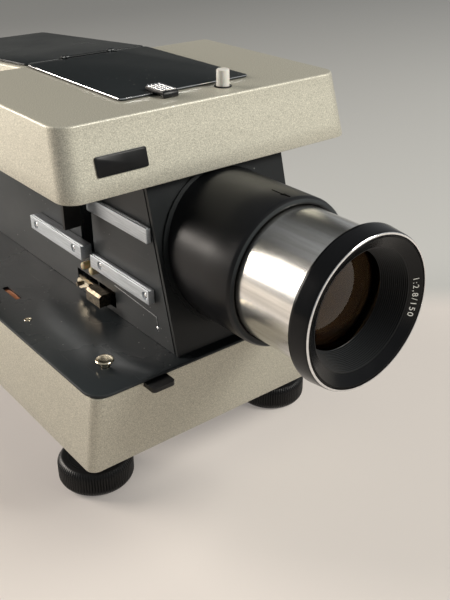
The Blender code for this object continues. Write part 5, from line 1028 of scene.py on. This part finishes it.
def build_studs():
    """Stop studs in nickel: a thin flat head on a neck that passes through the deck."""
    for side, label in SIDES:
        low = DECK_Z + 0.0033
        head = [(0.0, low + 0.0017), (0.0030, low + 0.00168), (0.0044, low + 0.0016), (0.0050, low + 0.0013),
                (0.0053, low + 0.0009)]
        profile = head + [(0.0053, low + 0.0004), (0.0051, low), (0.0025, low), (0.0025, DECK_Z - 0.0023),
                          (0.0045, DECK_Z - 0.0023), (0.0045, DECK_Z - 0.0045), (0.0025, DECK_Z - 0.0045),
                          (0.0025, DECK_Z - 0.0085), (0.0, DECK_Z - 0.0085)]
        stud = turned("stop_stud_domed_" + label, profile, (side * STUD_X, STUD_Y, 0.0), (0, 0, 1), ["nickel"],
                      steps=64)
        hang(stud, "nickel", "stop_stud_" + label, body="stud_" + label)


# ---------------------------------------------------------------- carried-over nodes

def dress_nodes():
    """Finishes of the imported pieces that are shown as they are."""
    paint_nodes("zinc", "bottom_plate", "changer_bar", "fan_motor",
                *("foot_stem_%s_%s" % (end, label) for end, _ in FOOT_ROWS for _, label in SIDES))
    # Painted shade: the side walls and the rear grille take the darker copy of the deck paint.
    paint_nodes("spine", "side_wall_left", "side_wall_right", "rear_grille")
    # Painted shade: the lens panel, gate plate and hinge pin take the darker copy of the panel paint.
    paint_nodes("face", "lens_panel", "gate_plate", "hinge_pin")
    paint_nodes("plastic", "release_key_left", "release_key_right", "mains_inlet", "power_switch", "fan_impeller",
                "changer_arm_left", "changer_arm_right")
    paint_nodes("burnished", "index_slider_left", "index_slider_right")
    paint_nodes("nylon", "guide_pegs_left", "guide_pegs_right")
    paint_nodes("nickel", "index_pawl_left", "index_pawl_right", "mirror")
    paint_nodes("glass", "condenser_front", "condenser_rear", "heat_filter", "rear_lens")
    paint_nodes("rail", "condenser_holder")
    paint_nodes("lamp", "lamp")
    paint_nodes("ceramic", "lamp_socket")
    paint_nodes("iron", "transformer")


# ---------------------------------------------------------------- stage

def build_sweep():
    """Seamless paper: a flat floor that turns up into a backdrop along a quarter circle."""
    flat = [(-2.2, 0.0), (-1.0, 0.0), (0.0, 0.0), (0.8, 0.0), (1.5, 0.0)]
    curve = [(1.5 + 0.9 * math.sin(a), 0.9 - 0.9 * math.cos(a)) for a in np.linspace(0.08, math.pi / 2, 24)]
    path = np.array(flat + curve + [(2.4, 3.0)])
    x = np.linspace(-3.0, 3.0, 13)
    points = np.zeros((len(path), len(x), 3))
    points[:, :, 0] = x[None, :]
    points[:, :, 1] = path[:, :1]
    points[:, :, 2] = path[:, 1:]
    mesh = bpy.data.meshes.new("studio_sweep")
    mesh.from_pydata(points.reshape(-1, 3).tolist(), [], quads(*points.shape[:2], ring=False))
    mesh.shade_smooth()
    sweep = bpy.data.objects.new("studio_sweep", mesh)
    bpy.context.scene.collection.objects.link(sweep)
    mesh.materials.append(studio_surface("studio_paper"))


def area_light(name, place, target, size, power, colour):
    """A soft square light that looks at a place."""
    light = bpy.data.lights.new(name, "AREA")
    light.shape = "RECTANGLE"
    light.size, light.size_y = size
    light.energy = power
    light.color = linear(colour)
    lamp = bpy.data.objects.new(name, light)
    lamp.location = place
    lamp.rotation_euler = (Vector(target) - Vector(place)).to_track_quat("-Z", "Y").to_euler()
    bpy.context.scene.collection.objects.link(lamp)


def build_lights():
    """One soft light high at the front right and a tall one low at the left rear: front and left side
    come out lighter than the top, and nothing lights the corner that faces the camera."""
    area_light("front_soft", (0.90, -1.28, 1.42), (0.0, 0.0, 0.12), (0.9, 0.7), 38.0, "#FFFCF4")
    area_light("left_soft", (-1.0, 1.28, 0.70), (0.0, 0.0, 0.12), (0.75, 0.85), 33.0, "#FFF6EC")


def build_camera():
    """Camera at the photo's place: from the front left, looking 28 degrees down."""
    turn, dip, roll = math.radians(38.37), math.radians(28.083), math.radians(-0.288)
    forward = Vector((math.sin(turn) * math.cos(dip), math.cos(turn) * math.cos(dip), -math.sin(dip)))
    right = Vector((math.cos(turn), -math.sin(turn), 0.0))
    up = right.cross(forward)
    right, up = right * math.cos(roll) + up * math.sin(roll), up * math.cos(roll) - right * math.sin(roll)
    camera = bpy.data.objects.new("photo_camera", bpy.data.cameras.new("photo_camera"))
    camera.data.lens = 49.93
    camera.data.sensor_width = 36.0
    camera.matrix_world = Matrix(((right.x, up.x, -forward.x, -0.2754), (right.y, up.y, -forward.y, -0.4435),
                                  (right.z, up.z, -forward.z, 0.358), (0.0, 0.0, 0.0, 1.0)))
    bpy.context.scene.collection.objects.link(camera)
    bpy.context.scene.camera = camera


def build_world():
    """Studio air: a dim pale grey that lights the shadows, and lighter where it is seen straight,
    mirrored or through glass."""
    world = bpy.data.worlds.new("studio_air")
    world.use_nodes = True
    tree = world.node_tree
    tree.nodes.clear()
    level = add_node(tree, "ShaderNodeMapRange", {"To Min": 0.12, "To Max": 0.45}, {"Value": seen_rays(tree)})
    air = add_node(tree, "ShaderNodeBackground", {"Color": (*tint("#DCDEE0"), 1.0)},
                   {"Strength": level.outputs["Result"]})
    add_node(tree, "ShaderNodeOutputWorld", links={"Surface": air.outputs["Background"]})
    bpy.context.scene.world = world
    bpy.context.scene.view_settings.view_transform = "Standard"


# ---------------------------------------------------------------- operators

class PROJECTOR_OT_cover(bpy.types.Operator):
    """Add the enamelled cover and its bare badge plate."""

    bl_idname = "projector.cover"
    bl_label = "Add the cover"

    def execute(self, context):
        build_cover()
        build_badge()
        return {"FINISHED"}


class PROJECTOR_OT_lamp_house(bpy.types.Operator):
    """Add the narrow hood behind the ridge."""

    bl_idname = "projector.lamp_house"
    bl_label = "Add the lamp house"

    def execute(self, context):
        build_lamp_house()
        return {"FINISHED"}


class PROJECTOR_OT_base(bpy.types.Operator):
    """Add the enamelled wall of the base."""

    bl_idname = "projector.base"
    bl_label = "Add the base"

    def execute(self, context):
        build_base()
        return {"FINISHED"}


class PROJECTOR_OT_deck(bpy.types.Operator):
    """Add the painted deck and its small fittings."""

    bl_idname = "projector.deck"
    bl_label = "Add the deck"

    def execute(self, context):
        build_deck()
        return {"FINISHED"}


class PROJECTOR_OT_feet(bpy.types.Operator):
    """Add the four ribbed foot wheels."""

    bl_idname = "projector.feet"
    bl_label = "Add the feet"

    def execute(self, context):
        build_feet()
        return {"FINISHED"}


class PROJECTOR_OT_flap(bpy.types.Operator):
    """Add the flap, the panel behind it, their hinge eyes and the catch."""

    bl_idname = "projector.flap"
    bl_label = "Add the flap"

    def execute(self, context):
        build_flap()
        build_catch()
        return {"FINISHED"}


class PROJECTOR_OT_rod(bpy.types.Operator):
    """Add the frosted push rod and its bush."""

    bl_idname = "projector.rod"
    bl_label = "Add the push rod"

    def execute(self, context):
        build_rod()
        return {"FINISHED"}


class PROJECTOR_OT_tube(bpy.types.Operator):
    """Add the black tube that holds the lens."""

    bl_idname = "projector.tube"
    bl_label = "Add the mount tube"

    def execute(self, context):
        build_tube()
        return {"FINISHED"}


class PROJECTOR_OT_lens(bpy.types.Operator):
    """Add the sliding lens, its glasses and its numbers."""

    bl_idname = "projector.lens"
    bl_label = "Add the lens"

    def execute(self, context):
        build_lens()
        build_numbers()
        return {"FINISHED"}


class PROJECTOR_OT_rails(bpy.types.Operator):
    """Add the magazine rails, their screws and the wall's seam."""

    bl_idname = "projector.rails"
    bl_label = "Add the rails"

    def execute(self, context):
        build_rails()
        build_wall_seam()
        return {"FINISHED"}


class PROJECTOR_OT_fittings(bpy.types.Operator):
    """Add the stop studs of both tracks."""

    bl_idname = "projector.fittings"
    bl_label = "Add the track fittings"

    def execute(self, context):
        build_studs()
        return {"FINISHED"}


class PROJECTOR_OT_finishes(bpy.types.Operator):
    """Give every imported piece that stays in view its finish."""

    bl_idname = "projector.finishes"
    bl_label = "Finish the packed pieces"

    def execute(self, context):
        dress_nodes()
        return {"FINISHED"}


class PROJECTOR_OT_stage(bpy.types.Operator):
    """Add the paper sweep, the soft lights, the air and the camera."""

    bl_idname = "projector.stage"
    bl_label = "Add the stage"

    def execute(self, context):
        build_sweep()
        build_lights()
        build_world()
        build_camera()
        return {"FINISHED"}


OPERATORS = (PROJECTOR_OT_cover,
             PROJECTOR_OT_lamp_house,
             PROJECTOR_OT_base,
             PROJECTOR_OT_deck,
             PROJECTOR_OT_feet,
             PROJECTOR_OT_flap,
             PROJECTOR_OT_rod,
             PROJECTOR_OT_tube,
             PROJECTOR_OT_lens,
             PROJECTOR_OT_rails,
             PROJECTOR_OT_fittings,
             PROJECTOR_OT_finishes,
             PROJECTOR_OT_stage)
CLASSES = (ProjectorColours, ProjectorSizes) + OPERATORS


class PROJECTOR_PT_panel(bpy.types.Panel):
    """Colours, sizes and the projector's pieces in the order they are built."""

    bl_idname = "PROJECTOR_PT_panel"
    bl_label = "Slide projector"
    bl_space_type = "VIEW_3D"
    bl_region_type = "UI"
    bl_category = "Projector"

    def draw(self, context):
        for group in (colours(), sizes()):
            for name in group.__annotations__:
                self.layout.prop(group, name)
        for operator in OPERATORS:
            self.layout.operator(operator.bl_idname)


def register():
    """Register the settings, the operators and the panel."""
    for item in CLASSES + (PROJECTOR_PT_panel,):
        bpy.utils.register_class(item)
    bpy.types.Scene.projector_colours = bpy.props.PointerProperty(type=ProjectorColours)
    bpy.types.Scene.projector_sizes = bpy.props.PointerProperty(type=ProjectorSizes)


def unregister():
    """Take everything back out again."""
    del bpy.types.Scene.projector_sizes
    del bpy.types.Scene.projector_colours
    for item in reversed(CLASSES + (PROJECTOR_PT_panel,)):
        bpy.utils.unregister_class(item)


def main():
    """Build every group in order."""
    register()
    for operator in OPERATORS:
        group, name = operator.bl_idname.split(".")
        if getattr(getattr(bpy.ops, group), name)() != {"FINISHED"}:
            raise RuntimeError(operator.bl_label + " did not finish")


if __name__ == "__main__":
    main()
